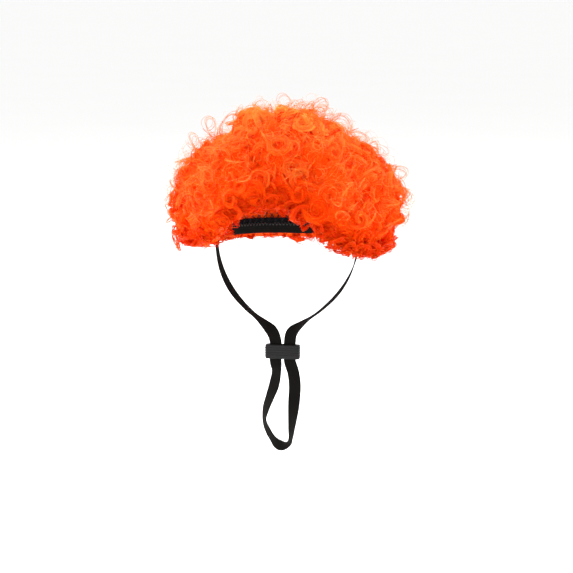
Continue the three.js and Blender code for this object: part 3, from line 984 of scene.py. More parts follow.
class PETWIG_OT_strap_slide(bpy.types.Operator):
    """Make the moulded slide that gathers the two runs of the strap"""

    bl_idname = "pet_wig.strap_slide"
    bl_label = "Strap slide"

    CORNER = 0.002
    CHAMFER = 0.0006
    SLOT_HALF_WIDTH = 0.0117
    SLOT_HALF_DEPTH = 0.0012
    SLOT_CORNER = 0.0008
    CORNER_STEPS = 6
    GRIPS = 4
    GRIP_RISE = 0.00035
    GRIP_SHARE = 0.3  # half of a grip's top, in half steps from grip to grip
    GRIP_MARGIN = 3  # chamfers between an end and the grips
    EDGE_BEVEL = 0.0002
    BEVEL_STEPS = 2

    def execute(self, context):
        low, high = (np.array(corner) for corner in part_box("strap_slide"))
        centre = (low + high) / 2
        half = (high - low) / 2
        rings = []
        for inset, height in self.outer_rows(half[2]):
            loop = rounded_rectangle(half[0] - inset, half[1] - inset, self.CORNER, self.CORNER_STEPS)
            rings.append(self.at_height(loop, centre, height))
        for spread, height in self.slot_rows(half[2]):
            half_width = self.SLOT_HALF_WIDTH + spread
            half_depth = self.SLOT_HALF_DEPTH + spread
            loop = rounded_rectangle(half_width, half_depth, self.SLOT_CORNER, self.CORNER_STEPS)
            rings.append(self.at_height(loop, centre, height))
        mesh = lofted_mesh("strap_slide", np.array(rings))
        material = plastic_material(context.scene.pet_wig.strap.plastic_colour)
        slide = finish_piece("slide_moulding", mesh, material, ["strap_slide"])
        bevel = slide.modifiers.new("softened edges", "BEVEL")
        bevel.width = self.EDGE_BEVEL
        bevel.segments = self.BEVEL_STEPS
        bevel.limit_method = "ANGLE"
        return {"FINISHED"}

    def slot_rows(self, half_height):
        """Spreads and heights down the slot, which is wider at both ends."""
        inner = half_height - self.CHAMFER
        return [(self.CHAMFER, half_height), (0, inner), (0, -inner), (self.CHAMFER, -half_height)]

    def outer_rows(self, half_height):
        """Insets and heights up the outside: chamfers at both ends, and grips between them."""
        rows = [(self.CHAMFER, -half_height), (0, self.CHAMFER - half_height)]
        reach_up = half_height - self.GRIP_MARGIN * self.CHAMFER
        half_grip = self.GRIP_SHARE * reach_up / self.GRIPS
        for grip in range(self.GRIPS):
            middle = -reach_up + (2 * grip + 1) * reach_up / self.GRIPS
            rows += [(0, middle - 2 * half_grip), (-self.GRIP_RISE, middle - half_grip)]
            rows += [(-self.GRIP_RISE, middle + half_grip), (0, middle + 2 * half_grip)]
        return [*rows, (0, half_height - self.CHAMFER), (self.CHAMFER, half_height)]

    def at_height(self, loop, centre, height):
        """A loop of points at a height over a centre."""
        return np.column_stack((loop, np.full(len(loop), height))) + centre


# Hem and cap

class PETWIG_OT_rim_hem(bpy.types.Operator):
    """Make the gathered elastic hem along the cap's edge and the stitches of its seam"""

    bl_idname = "pet_wig.rim_hem"
    bl_label = "Rim hem"

    COLUMNS = 288
    PICK = 0.0010
    RIBS = 4
    RIB_DEPTH = 0.00018
    GATHERS = 84
    GATHER_DEPTH = 0.0002
    STITCHES = 132
    STITCH_STEPS = 2
    STITCH_HALF_HEIGHT = 0.0014
    THREAD = 0.0005
    THREAD_PROUD = 0.2  # of its width, inside the hem
    THREAD_SUNK = 0.1  # of its width, outside

    def execute(self, context):
        settings = context.scene.pet_wig.cap
        angles = np.arange(self.COLUMNS) * 360 / self.COLUMNS
        points_each = 2 * self.RIBS + 1
        heights = np.linspace(0, 1, points_each)
        rib = self.RIB_DEPTH * (np.arange(points_each) % 2 == 0)
        levels = np.concatenate((heights, heights[::-1]))
        lifts = np.concatenate((HEM_INSIDE + rib, CAP_WALL - rib))
        rings = []
        for angle in angles:
            gather = self.GATHER_DEPTH * math.sin(math.radians(angle) * self.GATHERS)
            waves = gather * np.sin(levels * math.pi)
            drop = edge_drop(angle) - RIM_RAISE - HEM_HEIGHT * (1 - levels)
            rings.append(over_head(angle, 1, lifts + waves, drop, 0.0))
        mesh = lofted_mesh("rim_hem", np.array(rings))
        rib_width = HEM_HEIGHT / self.RIBS
        material = elastic_material("hem_elastic", settings.elastic_colour, self.PICK, rib_width)
        finish_piece("hem_elastic", mesh, material, ["rim_hem"])
        self.sew_seam(settings)
        return {"FINISHED"}

    def sew_seam(self, settings):
        """A zigzag of thread over the seam between the cap and the hem, inside and out."""
        lines = []
        inside = HEM_INSIDE - self.THREAD_PROUD * self.THREAD
        outside = CAP_WALL - self.THREAD_SUNK * self.THREAD
        for lift in (inside, outside):
            for stitch in range(2 * self.STITCHES):
                way = np.linspace(0, 1, self.STITCH_STEPS + 1)
                angle = (stitch + way) * 180 / self.STITCHES
                side = (1 - 2 * way) * (1 if stitch % 2 else -1)
                drop = cap_drop(angle) + SEAM_GAP / 2 + side * self.STITCH_HALF_HEIGHT
                lines.append(over_head(angle, 1, lift, drop, 0.0))
        material = thread_material("hem_thread", settings.thread_colour)
        thread_piece("hem_stitches", np.array(lines), self.THREAD, material)


class PETWIG_OT_cap(bpy.types.Operator):
    """Make the net cap with its crown patch and the wefts that carry the hair"""

    bl_idname = "pet_wig.cap"
    bl_label = "Cap"

    CORD_STEPS = 32
    NET_START = 0.13
    SLANT = 0.8
    NET_LIFT = 0.0009
    WEAVE_LIFT = 0.00025
    WEFT_SHARES = (0.30, 0.44, 0.58, 0.72, 0.86, 0.98)
    WEFT_LIFTS = (0.0012, 0.0019)
    WEFT_COLUMNS = 144
    WEFT_SECTION = (-1, -0.4, 0.4, 1)  # across a face of a tape, in half widths
    WEFT_ROUNDING = 0.0002
    WEFT_PICK = 0.0009
    WEFT_RIB = 0.0011
    SPAN_STEPS = 24
    PATCH_START = 0.02
    PATCH_SHARE = 0.17
    PATCH_RINGS = 9
    PATCH_COLUMNS = 64
    PATCH_LIFTS = (0.0004, 0.0017)
    PATCH_RIBS = 16
    PATCH_RELIEF = 0.0002
    PATCH_TWIST = 40

    def execute(self, context):
        settings = context.scene.pet_wig.cap
        net = net_material(settings.net_colour)
        lines = self.net_lines(settings.cords)
        radii = np.full(lines.shape[:2], settings.cord_width / 2)
        finish_piece("cap_net", strand_mesh("cap_net", lines, radii), net, ["cap"])
        tape = elastic_material("weft_tape", settings.net_colour, self.WEFT_PICK, self.WEFT_RIB)
        for row, share in enumerate(self.WEFT_SHARES, 1):
            mesh = lofted_mesh(f"weft_{row}", self.weft_rings(share, settings.weft_width))
            finish_piece(f"cap_weft_{row}", mesh, tape)
        finish_piece("cap_crown_patch", self.patch_mesh(), net)
        return {"FINISHED"}

    def net_lines(self, cords):
        """Cords that run down the cap in two slants and cross in diamonds."""
        shares = np.linspace(self.NET_START, 1, self.CORD_STEPS + 1)
        slope = np.gradient(shares) * self.SLANT / np.sin(shares * np.pi / 2)
        turn = np.degrees(np.cumsum(slope)) * np.pi / 2
        lines = []
        for hand in (-1, 1):
            for cord in range(cords):
                angle = 360 * cord / cords + hand * turn
                crossing = np.cos(np.radians(turn) * cords)
                lines.append(cap_point(angle, shares, self.NET_LIFT + hand * self.WEAVE_LIFT * crossing))
        return np.array(lines)

    def weft_rings(self, share, width):
        """Sections of a tape round the cap at a share of the way to its edge."""
        angles = np.arange(self.WEFT_COLUMNS) * 360 / self.WEFT_COLUMNS
        inner, outer = self.WEFT_LIFTS
        rounding = np.array((1, 0, 0, 1)) * self.WEFT_ROUNDING
        lifts = np.concatenate((inner + rounding, outer - rounding))
        section = np.array((*self.WEFT_SECTION, *reversed(self.WEFT_SECTION)))
        rings = []
        for angle in angles:
            line = cap_point(angle, np.linspace(0, 1, self.SPAN_STEPS), 0.0)
            span = np.linalg.norm(np.diff(line, axis=0), axis=1).sum()
            offsets = section * (width / 2 / span)
            rings.append(cap_point(angle, np.minimum(share + offsets, 1), lifts))
        return np.array(rings)

    def patch_mesh(self):
        """A round knitted patch over the crown, where the cords end."""
        angles = np.arange(self.PATCH_COLUMNS) * 360 / self.PATCH_COLUMNS
        shares = np.linspace(self.PATCH_START, 1, self.PATCH_RINGS) * self.PATCH_SHARE
        low, high = self.PATCH_LIFTS
        rings = []
        for share, lift in [(share, low) for share in shares] + [(share, high) for share in shares[::-1]]:
            turn = np.radians(angles) * self.PATCH_RIBS + self.PATCH_TWIST * share
            rings.append(cap_point(angles, share, lift + self.PATCH_RELIEF * np.cos(turn)))
        return lofted_mesh("cap_crown_patch", np.array(rings), ring_joined=False)


# Hair

class Locks:
    """Curls to be drawn: where each one is, how it lies and what it looks like, in arrays."""

    FIELDS = ("spot", "across", "down", "out", "radius", "turns", "hand", "phase", "wind", "tilt", "dip",
              "strands", "tone", "loose", "sunk", "angle", "share")

    def __init__(self, **values):
        for field in self.FIELDS:
            setattr(self, field, values[field])

    def __len__(self):
        return len(self.spot)

    def picked(self, mask):
        """The locks where mask is true."""
        return Locks(**{field: getattr(self, field)[mask] for field in self.FIELDS})


def joined(*sets):
    """Sets of locks as one."""
    return Locks(**{
        field: np.concatenate([getattr(part, field) for part in sets]) for field in Locks.FIELDS
    })


FRONT = np.array((0.0, -1.0, 0.0))  # the direction that the face looks in
SCATTER_TRIES = 26000


def scattered(rng, spacing, most_share):
    """Angles and shares spread evenly over the hair, no two closer than spacing."""
    small = 0.01
    angle = rng.uniform(0, 360, SCATTER_TRIES)
    share = rng.uniform(0, most_share, SCATTER_TRIES)
    spot = hair_point(angle, share, EDGE_LIFT)
    sideways = hair_point(angle + 1, share, EDGE_LIFT) - spot
    downwards = hair_point(angle, share + small, EDGE_LIFT) - spot
    area = np.linalg.norm(np.cross(sideways, downwards), axis=-1)
    wanted = rng.uniform(0, area.max(), SCATTER_TRIES) < area
    angle, share, spot = angle[wanted], share[wanted], spot[wanted]
    kept = []
    for index in range(len(spot)):
        if not kept or np.min(np.sum((spot[kept] - spot[index]) ** 2, -1)) > spacing**2:
            kept.append(index)
    return angle[kept], share[kept]


# What the looks of a curl are drawn from
CURL_SIZE_SPREAD = 0.28
CURL_SIZES = (0.55, 1.6)
CURL_TURNS = (0.75, 1.5)
CURL_WINDS = (0.40, 0.80)  # the share of its radius that a curl loses on the way to its tip
CURL_DIPS = (0.007, 0.012)  # how deep its roots are
CURL_STRANDS = 13
STRAND_SHARES = (0.7, 1.3)  # of those strands, by the size of the curl
CURL_LOOSENESS = (0.35, 1.0)
CURL_TONE = 0.38
CURL_TONE_SPREAD = 0.05
STANDING_SHARE = 0.42  # of the curls have their turns on edge
STANDING_STEEPS = (1.0, 3.0)
LYING_STEEPS = (0, 0.95)


def tilts(lean, steep):
    """Tilts across and down the hair, from the directions that curls lean in and how steep they are."""
    return np.stack((np.cos(lean), np.sin(lean)), -1) * steep[:, None]


def curl_values(rng, count, radius):
    """The looks of a number of curls: size, turns, hand, lie and strands."""
    size = radius * np.clip(rng.normal(1, CURL_SIZE_SPREAD, count), *CURL_SIZES)
    lean = rng.uniform(0, 2 * np.pi, count)
    stands = rng.uniform(size=count) < STANDING_SHARE
    steep = np.where(stands, rng.uniform(*STANDING_STEEPS, count), rng.uniform(*LYING_STEEPS, count) ** 2)
    return {
        "radius": size,
        "turns": rng.uniform(*CURL_TURNS, count),
        "hand": np.where(rng.uniform(size=count) < 0.5, -1.0, 1.0),
        "phase": rng.uniform(0, 2 * np.pi, count),
        "wind": rng.uniform(*CURL_WINDS, count),
        "tilt": tilts(lean, steep),
        "dip": rng.uniform(*CURL_DIPS, count),
        "strands": np.round(np.clip(size / radius, *STRAND_SHARES) * CURL_STRANDS).astype(int),
        "loose": rng.uniform(*CURL_LOOSENESS, count),
        "tone": rng.normal(CURL_TONE, CURL_TONE_SPREAD, count),
    }


SURFACE_MOST_SHARE = 0.95
STANDING_SINK = 0.7  # of its radius, for a curl on edge
CURL_RAISES = (0, 0.0025)
LOW_PAINTED_SHADE = 0.72  # how far the lowest curls' tone is lowered, into painted shade
CROWN_PAINTED_LIGHT = 0.92  # and how much the crown's tone is raised, painted light on the top of the hair

# Shift of the curls' tone from the crown to the edge, painted light on the crown and painted shade at the
# edge: share and shift
TONE_SHIFTS = ((0.16, CROWN_PAINTED_LIGHT), (0.49, 0), (0.84, 0), (0.99, -LOW_PAINTED_SHADE))


def surface_locks(rng, form, hair):
    """Curls all over the hair."""
    angle, share = scattered(rng, hair.spacing, SURFACE_MOST_SHARE)
    values = curl_values(rng, len(angle), hair.curl_radius)
    steep = np.linalg.norm(values["tilt"], axis=-1)
    sunk = STANDING_SINK * values["radius"] * steep / np.hypot(1, steep)
    values["sunk"] = sunk - rng.uniform(*CURL_RAISES, len(angle))
    # Painted light raises the crown's tone and painted shade lowers the tone at the lower edge
    values["tone"] = values["tone"] + np.interp(share, *np.transpose(TONE_SHIFTS))
    spot, across, down, out = hair_axes(angle, share, form.lift(angle, share) - values["sunk"])
    return Locks(spot=spot, across=across, down=down, out=out, angle=angle, share=share, **values)


# Rows of curls under the edge: lift off the head, raise above the edge, share of down in the direction that
# they face, and size
RIM_ROWS = (
    (0.0260, 0.0065, 0.45, 0.75),
    (0.0215, 0.0030, 0.75, 0.65),
    (0.0125, 0.0015, 1.00, 0.65),
    (0.0065, 0.0010, 1.30, 0.45),
)
RIM_SPACING = 0.0095
RIM_STRAY = 0.3  # of the spacing, to either side
RIM_STRANDS = 7
RIM_DIP = 0.7  # dips and tilts of these curls, in shares of those on the surface
RIM_TILT = 0.5


def rim_locks(rng, hair):
    """Curls that turn under the hair's lower edge."""
    parts = []
    for lift, raised, downward, size in RIM_ROWS:
        count = int(2 * np.pi * (HEAD_SIDE + lift) / RIM_SPACING)
        angle = (np.arange(count) + rng.uniform(-RIM_STRAY, RIM_STRAY, count)) * 360 / count
        share = np.ones(count)
        spot, across, down, out = hair_axes(angle, share, lift)
        sag = np.interp((angle + 180) % 360 - 180, *np.transpose(RIM_SAGS))
        spot = spot + down * (sag - raised)[:, None]
        faces = unit(out * (1 - downward) + down * downward)
        values = curl_values(rng, count, size * hair.curl_radius)
        values["strands"] = np.full(count, RIM_STRANDS)
        values["dip"] = RIM_DIP * values["dip"]
        values["tilt"] = RIM_TILT * values["tilt"]
        values["sunk"] = np.zeros(count)
        # Painted shade on the curls under the hair's edge
        values["tone"] = values["tone"] - LOW_PAINTED_SHADE
        parts.append(Locks(
            spot=spot, across=across, down=unit(np.cross(faces, across)), out=faces,
            angle=angle % 360, share=share, **values,
        ))
    return joined(*parts)


STRAND_CLEARANCE = 0.001  # between the mat's inside and the strands


def kept_off_cap(lines):
    """Lines pushed out to clear the cap where they would go through it."""
    clear = CAP_WALL + HAIR_GAP + STRAND_CLEARANCE
    middle = np.zeros_like(lines)
    middle[..., 2] = np.minimum(lines[..., 2], -HEAD_HEIGHT)
    offset = lines - middle
    size = np.linalg.norm(offset / (HEAD_SIDE, HEAD_FRONT, HEAD_HEIGHT), axis=-1, keepdims=True)
    return middle + offset * np.maximum(1, (1 + clear / HEAD_SIDE) / size)


def moved_off_cap(corners):
    """Sections of bundles, each moved out whole where a corner of it would go through the cap."""
    push = kept_off_cap(corners) - corners
    furthest = np.argmax(np.linalg.norm(push, axis=-1), axis=-1)
    return corners + np.take_along_axis(push, furthest[..., None, None], axis=-2)


DEEP = -0.008  # under the curls, where a strand has its root colour, painted shade deep in the hair
PROUD = 0.003  # over them, where it has its tip colour, painted light at the outside of the hair

# How much the strands of one curl differ, which its looseness scales
STRAND_SPREADS = {
    "size": 0.17, "turns": 0.16, "start": 0.45, "wind": 0.1, "oval": 0.08, "dip": 0.002, "height": 0.0011,
    "tip height": 0.0009, "tilt": 0.08, "shift": 0.0009, "tone": 0.025,
}
STRAND_SIZES = (0.35, 1.6)  # least and most, in radii of the curl
MOST_WIND = 0.85
OVALS = (0.7, 1.3)
RIPPLES = 2.3  # for each turn
RIPPLE_DEPTH = 0.07
RISE_END = 0.36  # the share of a strand that comes up out of the mat


def curl_lines(rng, locks, steps):
    """Lines of all strands of a set of locks: out of the mat, round the curl and in to the tip.

    Also a tone for each strand, and how far out of the hair each of its points is, from 0 to 1.
    """
    owner = np.repeat(np.arange(len(locks)), locks.strands)
    count = len(owner)

    def part(field):
        return getattr(locks, field)[owner]

    def varied(value):
        return rng.normal(0, STRAND_SPREADS[value], count) * part("loose")

    way = np.linspace(0, 1, steps + 1)
    radius = part("radius") * np.clip(1 + varied("size"), *STRAND_SIZES)
    turns = part("turns") + varied("turns")
    start = part("phase") + varied("start")
    turn = start[:, None] + (part("hand") * turns)[:, None] * 2 * np.pi * way
    wind = np.clip(part("wind") + varied("wind"), 0, MOST_WIND)
    wound = radius[:, None] * (1 - wind[:, None] * way)
    oval = np.clip(1 + varied("oval"), *OVALS)[:, None]
    ripple = rng.uniform(0, 2 * np.pi, (count, 1))
    wound = wound * (1 + RIPPLE_DEPTH * np.sin(RIPPLES * turn + ripple))
    rise = np.clip(way / RISE_END, 0, 1)
    rise = rise * rise * (3 - 2 * rise)
    height = -(part("dip") + np.abs(varied("dip")))[:, None] * (1 - rise)
    height = height + (varied("height")[:, None] + varied("tip height")[:, None] * way)
    tilt = part("tilt") + np.stack((varied("tilt"), varied("tilt")), -1)
    out = part("out")
    axis = unit(out + part("across") * tilt[:, :1] + part("down") * tilt[:, 1:])
    first = unit(part("across") - axis * np.sum(part("across") * axis, -1, keepdims=True))
    second = np.cross(axis, first)
    shift = first * varied("shift")[:, None] + second * varied("shift")[:, None]
    lines = (
        (part("spot") + shift)[:, None]
        + first[:, None] * (wound * np.cos(turn) * oval)[..., None]
        + second[:, None] * (wound * np.sin(turn) / oval)[..., None]
        + out[:, None] * height[..., None]
    )
    lines = kept_off_cap(lines)
    tones = part("tone") + varied("tone")
    # How far out of the hair each point lies, which sets its painted shade and painted light
    proud = np.sum((lines - part("spot")[:, None]) * out[:, None], -1) - part("sunk")[:, None]
    return lines, tones, np.clip((proud - DEEP) / (PROUD - DEEP), 0, 1)


STRAND_WIDTHS = (0.75, 1.15)  # in shares of the usual width
TIP_TAPER = 0.65


def strand_radii(rng, count, points, width):
    """Half thicknesses along strands: full for most of the way and fine at the tip."""
    taper = 1 - TIP_TAPER * np.linspace(0, 1, points) ** 4
    return rng.uniform(*STRAND_WIDTHS, count)[:, None] * taper * width / 2


def fibre_piece(rng, name, lines, tones, reaches, width, material, replaced=()):
    """A piece of the hair that is strands along lines."""
    radii = strand_radii(rng, *lines.shape[:2], width)
    mesh = strand_mesh(name, lines, radii, tones, reaches)
    finish_piece(name, mesh, material, replaced)


CURL_STEPS = 14

# Parts of the hair below the crown: name, first angle and last angle
SECTORS = (
    ("front", -50, 50),
    ("right", 50, 130),
    ("back", 130, 230),
    ("left", 230, 310),
)
CROWN_SHARE = 0.42


def sector_masks(locks):
    """Names of the parts of the hair, each with the locks that are in it."""
    crown = locks.share < CROWN_SHARE
    yield "crown", crown
    for name, first, last in SECTORS:
        yield name, ~crown & ((locks.angle - first) % 360 < last - first)


class PETWIG_OT_hair_mat(bpy.types.Operator):
    """Make the mat of fibre that the curls grow from"""

    bl_idname = "pet_wig.hair_mat"
    bl_label = "Hair mat"

    COLUMNS = 144
    OUTSIDE_ROWS = 40
    INSIDE_ROWS = 16
    SINK = 0.0030
    EDGE_RAISE = 0.0005
    LIP = 0.007
    LIP_SHARE = 0.95
    TUFT = 0.0007
    START_SHARE = 0.01
    ROUND_START = 0.88  # the share from which the outside rounds in
    ROUND_SPAN = 0.12
    ROUND_DEPTH = 0.12  # of its lift, at the edge
    UNDERSIDE = 0.6  # of the edge's lift, for the row under it

    def execute(self, context):
        hair = context.scene.pet_wig.hair
        form = HairForm()
        rng = np.random.default_rng(hair.seed)
        angles = np.arange(self.COLUMNS) * 360 / self.COLUMNS
        rows = []
        for share in np.linspace(self.START_SHARE, 1, self.OUTSIDE_ROWS):
            lift = form.lift(angles, share) - self.SINK + rng.normal(0, self.TUFT, self.COLUMNS)
            rounding = max(0, (share - self.ROUND_START) / self.ROUND_SPAN)
            lift = lift * (1 - self.ROUND_DEPTH * rounding**2)
            rows.append(self.raised(angles, share, lift))
        inside = CAP_WALL + HAIR_GAP
        rows.append(self.raised(angles, 1.0, self.UNDERSIDE * lift))
        rows.append(self.raised(angles, 1.0, inside + self.LIP))
        for share in np.linspace(self.LIP_SHARE, self.START_SHARE, self.INSIDE_ROWS):
            rows.append(over_head(angles, share, inside, edge_drop(angles) - self.EDGE_RAISE, 0.0))
        mesh = lofted_mesh("hair_mat", np.array(rows), ring_joined=False)
        finish_piece("hair_mat", mesh, mat_material(hair), ["hair"])
        return {"FINISHED"}

    def raised(self, angles, share, lift):
        """A ring of the mat's outside, which ends a little above the hair's edge."""
        return over_head(angles, share, lift, edge_drop(angles) - self.EDGE_RAISE, EDGE_LIFT)


class PETWIG_OT_hair_curls(bpy.types.Operator):
    """Make the curls, one joined piece for each side of the hair, with their bundles and paler strands of
    painted highlight
    """

    bl_idname = "pet_wig.hair_curls"
    bl_label = "Hair curls"

    BUNDLE_STEPS = 11
    BUNDLE_WIDTH = 0.32  # half a bundle's width in radii of its curl
    BUNDLE_FLATNESS = 0.22
    BUNDLE_START = 0.45  # share of its full width that a bundle starts with
    BUNDLE_SWELL = 1.8  # how fast it comes to its full width
    BUNDLE_TAPER = 0.75
    BUNDLE_RISE = (-0.0024, -0.0008)
    # Bundles lie inside the curls, so a cut reach gives them more of the root colour's painted shade
    BUNDLE_REACH = 0.7
    SHINE_STRANDS = 4
    SHINE_RISE = 0.0010
    # Tone lift of the strands over the curls, a painted highlight
    HIGHLIGHT_PALER = 0.14
    STREAKS = 2.4
    STREAK_LENGTH = 0.030

    def execute(self, context):
        hair = context.scene.pet_wig.hair
        rng = np.random.default_rng(hair.seed + 1)
        locks = joined(surface_locks(rng, HairForm(), hair), rim_locks(rng, hair))
        material, _, _ = fibre_material("curled_fibre", hair, hair.tip_colour)
        for name, mask in sector_masks(locks):
            strands = curl_lines(rng, locks.picked(mask), CURL_STEPS)
            fibre_piece(rng, f"hair_{name}", *strands, hair.strand, material, ["hair"])
        self.bundle(hair, rng, locks)
        self.shine(hair, rng, locks.picked(locks.share < 1), material)
        return {"FINISHED"}

    def shine(self, hair, rng, locks, material):
        """A few paler strands that follow each curl on its outside, as painted highlights."""
        locks.strands = rng.integers(1, self.SHINE_STRANDS + 1, len(locks))
        locks.spot = locks.spot + locks.out * self.SHINE_RISE
        locks.tone = locks.tone + self.HIGHLIGHT_PALER
        strands = curl_lines(rng, locks, CURL_STEPS)
        fibre_piece(rng, "hair_shine", *strands, hair.fine_strand, material)

    def bundle(self, hair, rng, locks):
        """A flat bundle in the middle of each curl, which its strands lie on."""
        count = len(locks)
        bundles = locks.picked(np.full(count, True))
        bundles.strands = np.ones(count, int)
        bundles.loose = np.zeros(count)
        lines, tones, reaches = curl_lines(rng, bundles, self.BUNDLE_STEPS)
        way = np.linspace(0, 1, self.BUNDLE_STEPS + 1)
        lines = lines + bundles.out[:, None] * np.interp(way, (0, 1), self.BUNDLE_RISE)[:, None]
        swell = np.minimum(1, self.BUNDLE_START + self.BUNDLE_SWELL * way)
        swell = swell * (1 - self.BUNDLE_TAPER * way**3)
        half_widths = self.BUNDLE_WIDTH * bundles.radius[:, None] * swell
        half_thicknesses = self.BUNDLE_FLATNESS * half_widths
        reaches = self.BUNDLE_REACH * reaches
        mesh = bundle_mesh("hair_bundles", lines, half_widths, half_thicknesses, tones, reaches)
        add_vectors(mesh, "streaks", self.streaks(lines))
        finish_piece("hair_bundles", mesh, bundle_material(hair), ["hair"])

    def streaks(self, lines):
        """For each corner of the bundles, how far across its bundle and how far along it lies."""
        count, points = lines.shape[:2]
        steps = np.linalg.norm(np.diff(lines, axis=1, prepend=lines[:, :1]), axis=-1)
        along = np.cumsum(steps, axis=1) / self.STREAK_LENGTH + np.arange(count)[:, None]
        values = np.zeros((count, points, len(BUNDLE_SECTION), 3))
        values[..., 0] = self.STREAKS * BUNDLE_SECTION[:, 0]
        values[..., 2] = along[..., None]
        return values


# Layers of strands over the curls, with the ranges of their rise, steepness, turns and tone; their pale
# tones, palest on the halo, are painted light coming through fine strands
LOOSE_LAYERS = (
    {
        "name": "hair_loose_curls", "strands": 5, "spacing": 0.0125, "most_share": 0.85, "steps": 14,
        "width": 0.00032, "rise": (0.0010, 0.0045), "steep": (0.6, 2.2), "turns": (0.8, 1.3),
        "tone": (0.50, 0.75),
    },
    {
        "name": "hair_halo", "strands": 1, "spacing": 0.0045, "most_share": 0.80, "steps": 12,
        "width": 0.00015, "rise": (0.0015, 0.0080), "steep": (1.0, 3.0), "turns": (0.5, 1.1),
        "tone": (0.80, 1.20),
    },
)

# Ring curls that stand off the hair and turn towards the front: middle, radius and strands
STANDING_CURLS = (
    (0.0277, 0.000, 0.0315, 0.0074, 6),
    (0.0328, -0.004, 0.0245, 0.0070, 7),
    (0.0450, -0.008, 0.0140, 0.0092, 9),
    (-0.0030, 0.004, 0.0330, 0.0060, 3),
    (-0.0210, 0.002, 0.0290, 0.0060, 3),
    (-0.0790, 0.000, 0.0005, 0.0060, 5),
    (-0.0660, 0.004, 0.0140, 0.0055, 5),
    (0.0940, 0.004, -0.0240, 0.0065, 5),
)


def layer_locks(rng, form, hair, layer):
    """Locks of a loose layer, spread over the hair."""
    angle, share = scattered(rng, layer["spacing"], layer["most_share"])
    count = len(angle)
    values = curl_values(rng, count, hair.curl_radius)
    values["sunk"] = -rng.uniform(*layer["rise"], count)
    spot, across, down, out = hair_axes(angle, share, form.lift(angle, share) - values["sunk"])
    lean = rng.uniform(0, 2 * np.pi, count)
    values["tilt"] = tilts(lean, rng.uniform(*layer["steep"], count))
    values["strands"] = np.full(count, layer["strands"])
    values["turns"] = rng.uniform(*layer["turns"], count)
    values["tone"] = rng.uniform(*layer["tone"], count)
    return Locks(spot=spot, across=across, down=down, out=out, angle=angle, share=share, **values)


class PETWIG_OT_hair_flyaways(bpy.types.Operator):
    """Make the loose strands that stand off the curls and the locks that hang below the edge"""

    bl_idname = "pet_wig.hair_flyaways"
    bl_label = "Loose strands"

    RING_STEPS = 24
    RING_PITCH = (0.9, 1.6)  # how far a ring curl winds forwards or back, for its radius
    RING_STRAYS = (0.7, 1.3)  # how far its strands wind, for the curl's own pitch
    RING_TILT = (0.0, 3.0)  # across and down the hair
    RING_VALUES = {
        "turns": 1.2, "wind": 0.12, "tone": 0.75, "loose": 0.75, "sunk": 0.0, "dip": 0.012, "angle": 0.0,
        "share": 0.0,
    }
    LOCK_STRANDS = 26
    LOCK_STEPS = 16
    LOCK_RAISE = 0.018  # of its root above the hair's edge
    LOCK_TUCK = 0.002
    LOCK_BOW = 0.004
    LOCK_TWISTS = (2.5, 4.5)
    LOCK_FILL = (0.05, 1)  # shares of a lock's section that its strands take up
    LOCK_SPREAD = 0.75
    LOCK_TAPER = 0.6
    LOCK_TONES = (0.2, 0.6)
    LOCK_REACHES = (0.3, 0.9)  # at the root and at the tip, painted shade at the root under the edge and painted light towards the tip

    def execute(self, context):
        hair = context.scene.pet_wig.hair
        rng = np.random.default_rng(hair.seed + 2)
        form = HairForm()
        material, _, _ = fibre_material("loose_fibre", hair, hair.loose_colour)
        for layer in LOOSE_LAYERS:
            strands = curl_lines(rng, layer_locks(rng, form, hair, layer), layer["steps"])
            fibre_piece(rng, layer["name"], *strands, layer["width"], material)
        self.stand_curls(hair, rng, material)
        self.hang_locks(hair, rng, material)
        return {"FINISHED"}

    def stand_curls(self, hair, rng, material):
        """Thin ring curls that stand up from the hair."""
        table = np.array(STANDING_CURLS)
        count = len(table)
        spot = table[:, :3]
        out = unit(spot + (0, 0, HEAD_HEIGHT))
        across = unit(np.cross(FRONT, out))
        values = curl_values(rng, count, hair.curl_radius)
        values["tilt"] = np.broadcast_to(self.RING_TILT, (count, 2))
        values["radius"] = table[:, 3]
        values["strands"] = table[:, 4].astype(int)
        for name, value in self.RING_VALUES.items():
            values[name] = np.full(count, value)
        locks = Locks(spot=spot, across=across, down=np.cross(out, across), out=out, **values)
        lines, tones, reaches = curl_lines(rng, locks, self.RING_STEPS)
        owner = np.repeat(np.arange(count), values["strands"])
        pitch = (values["radius"] * rng.uniform(*self.RING_PITCH, count) * values["hand"])[owner]
        pitch = pitch * rng.uniform(*self.RING_STRAYS, len(lines))
        way = np.linspace(0, 1, self.RING_STEPS + 1)
        lines = lines - FRONT * (pitch[:, None] * way**2)[..., None]
        fibre_piece(rng, "hair_standing_curls", lines, tones, reaches, hair.fine_strand, material)

    def hang_locks(self, hair, rng, material):
        """Two pointed locks below the edge on the left."""
        lines = []
        way = np.linspace(0, 1, self.LOCK_STEPS + 1)[:, None]
        for angle, lift, drop, thick in HANGING_LOCKS:
            top = over_head(angle, 1, lift, edge_drop(angle) - self.LOCK_RAISE, lift)
            side = unit(top * (1, 1, 0))
            end = top - side * self.LOCK_TUCK - np.array((0, 0, drop))
            middle = (top + end) / 2 + side * self.LOCK_BOW
            guide = top * (1 - way) ** 2 + 2 * middle * way * (1 - way) + end * way**2
            cross = np.array((-side[1], side[0], 0))
            for _ in range(self.LOCK_STRANDS):
                turn = rng.uniform(0, 2 * np.pi) + way * rng.uniform(*self.LOCK_TWISTS)
                place = math.sqrt(rng.uniform(*self.LOCK_FILL))
                off = self.LOCK_SPREAD * thick * place * (1 - self.LOCK_TAPER * way)
                lines.append(guide + off * (np.cos(turn) * cross + np.sin(turn) * side))
        lines = np.array(lines)
        radii = strand_radii(rng, *lines.shape[:2], hair.strand)
        tones = rng.uniform(*self.LOCK_TONES, len(lines))
        reaches = np.broadcast_to(np.linspace(*self.LOCK_REACHES, self.LOCK_STEPS + 1), radii.shape)
        mesh = strand_mesh("hair_hanging_locks", lines, radii, tones, reaches)
        finish_piece("hair_hanging_locks", mesh, material, ["hair"])


# Stage

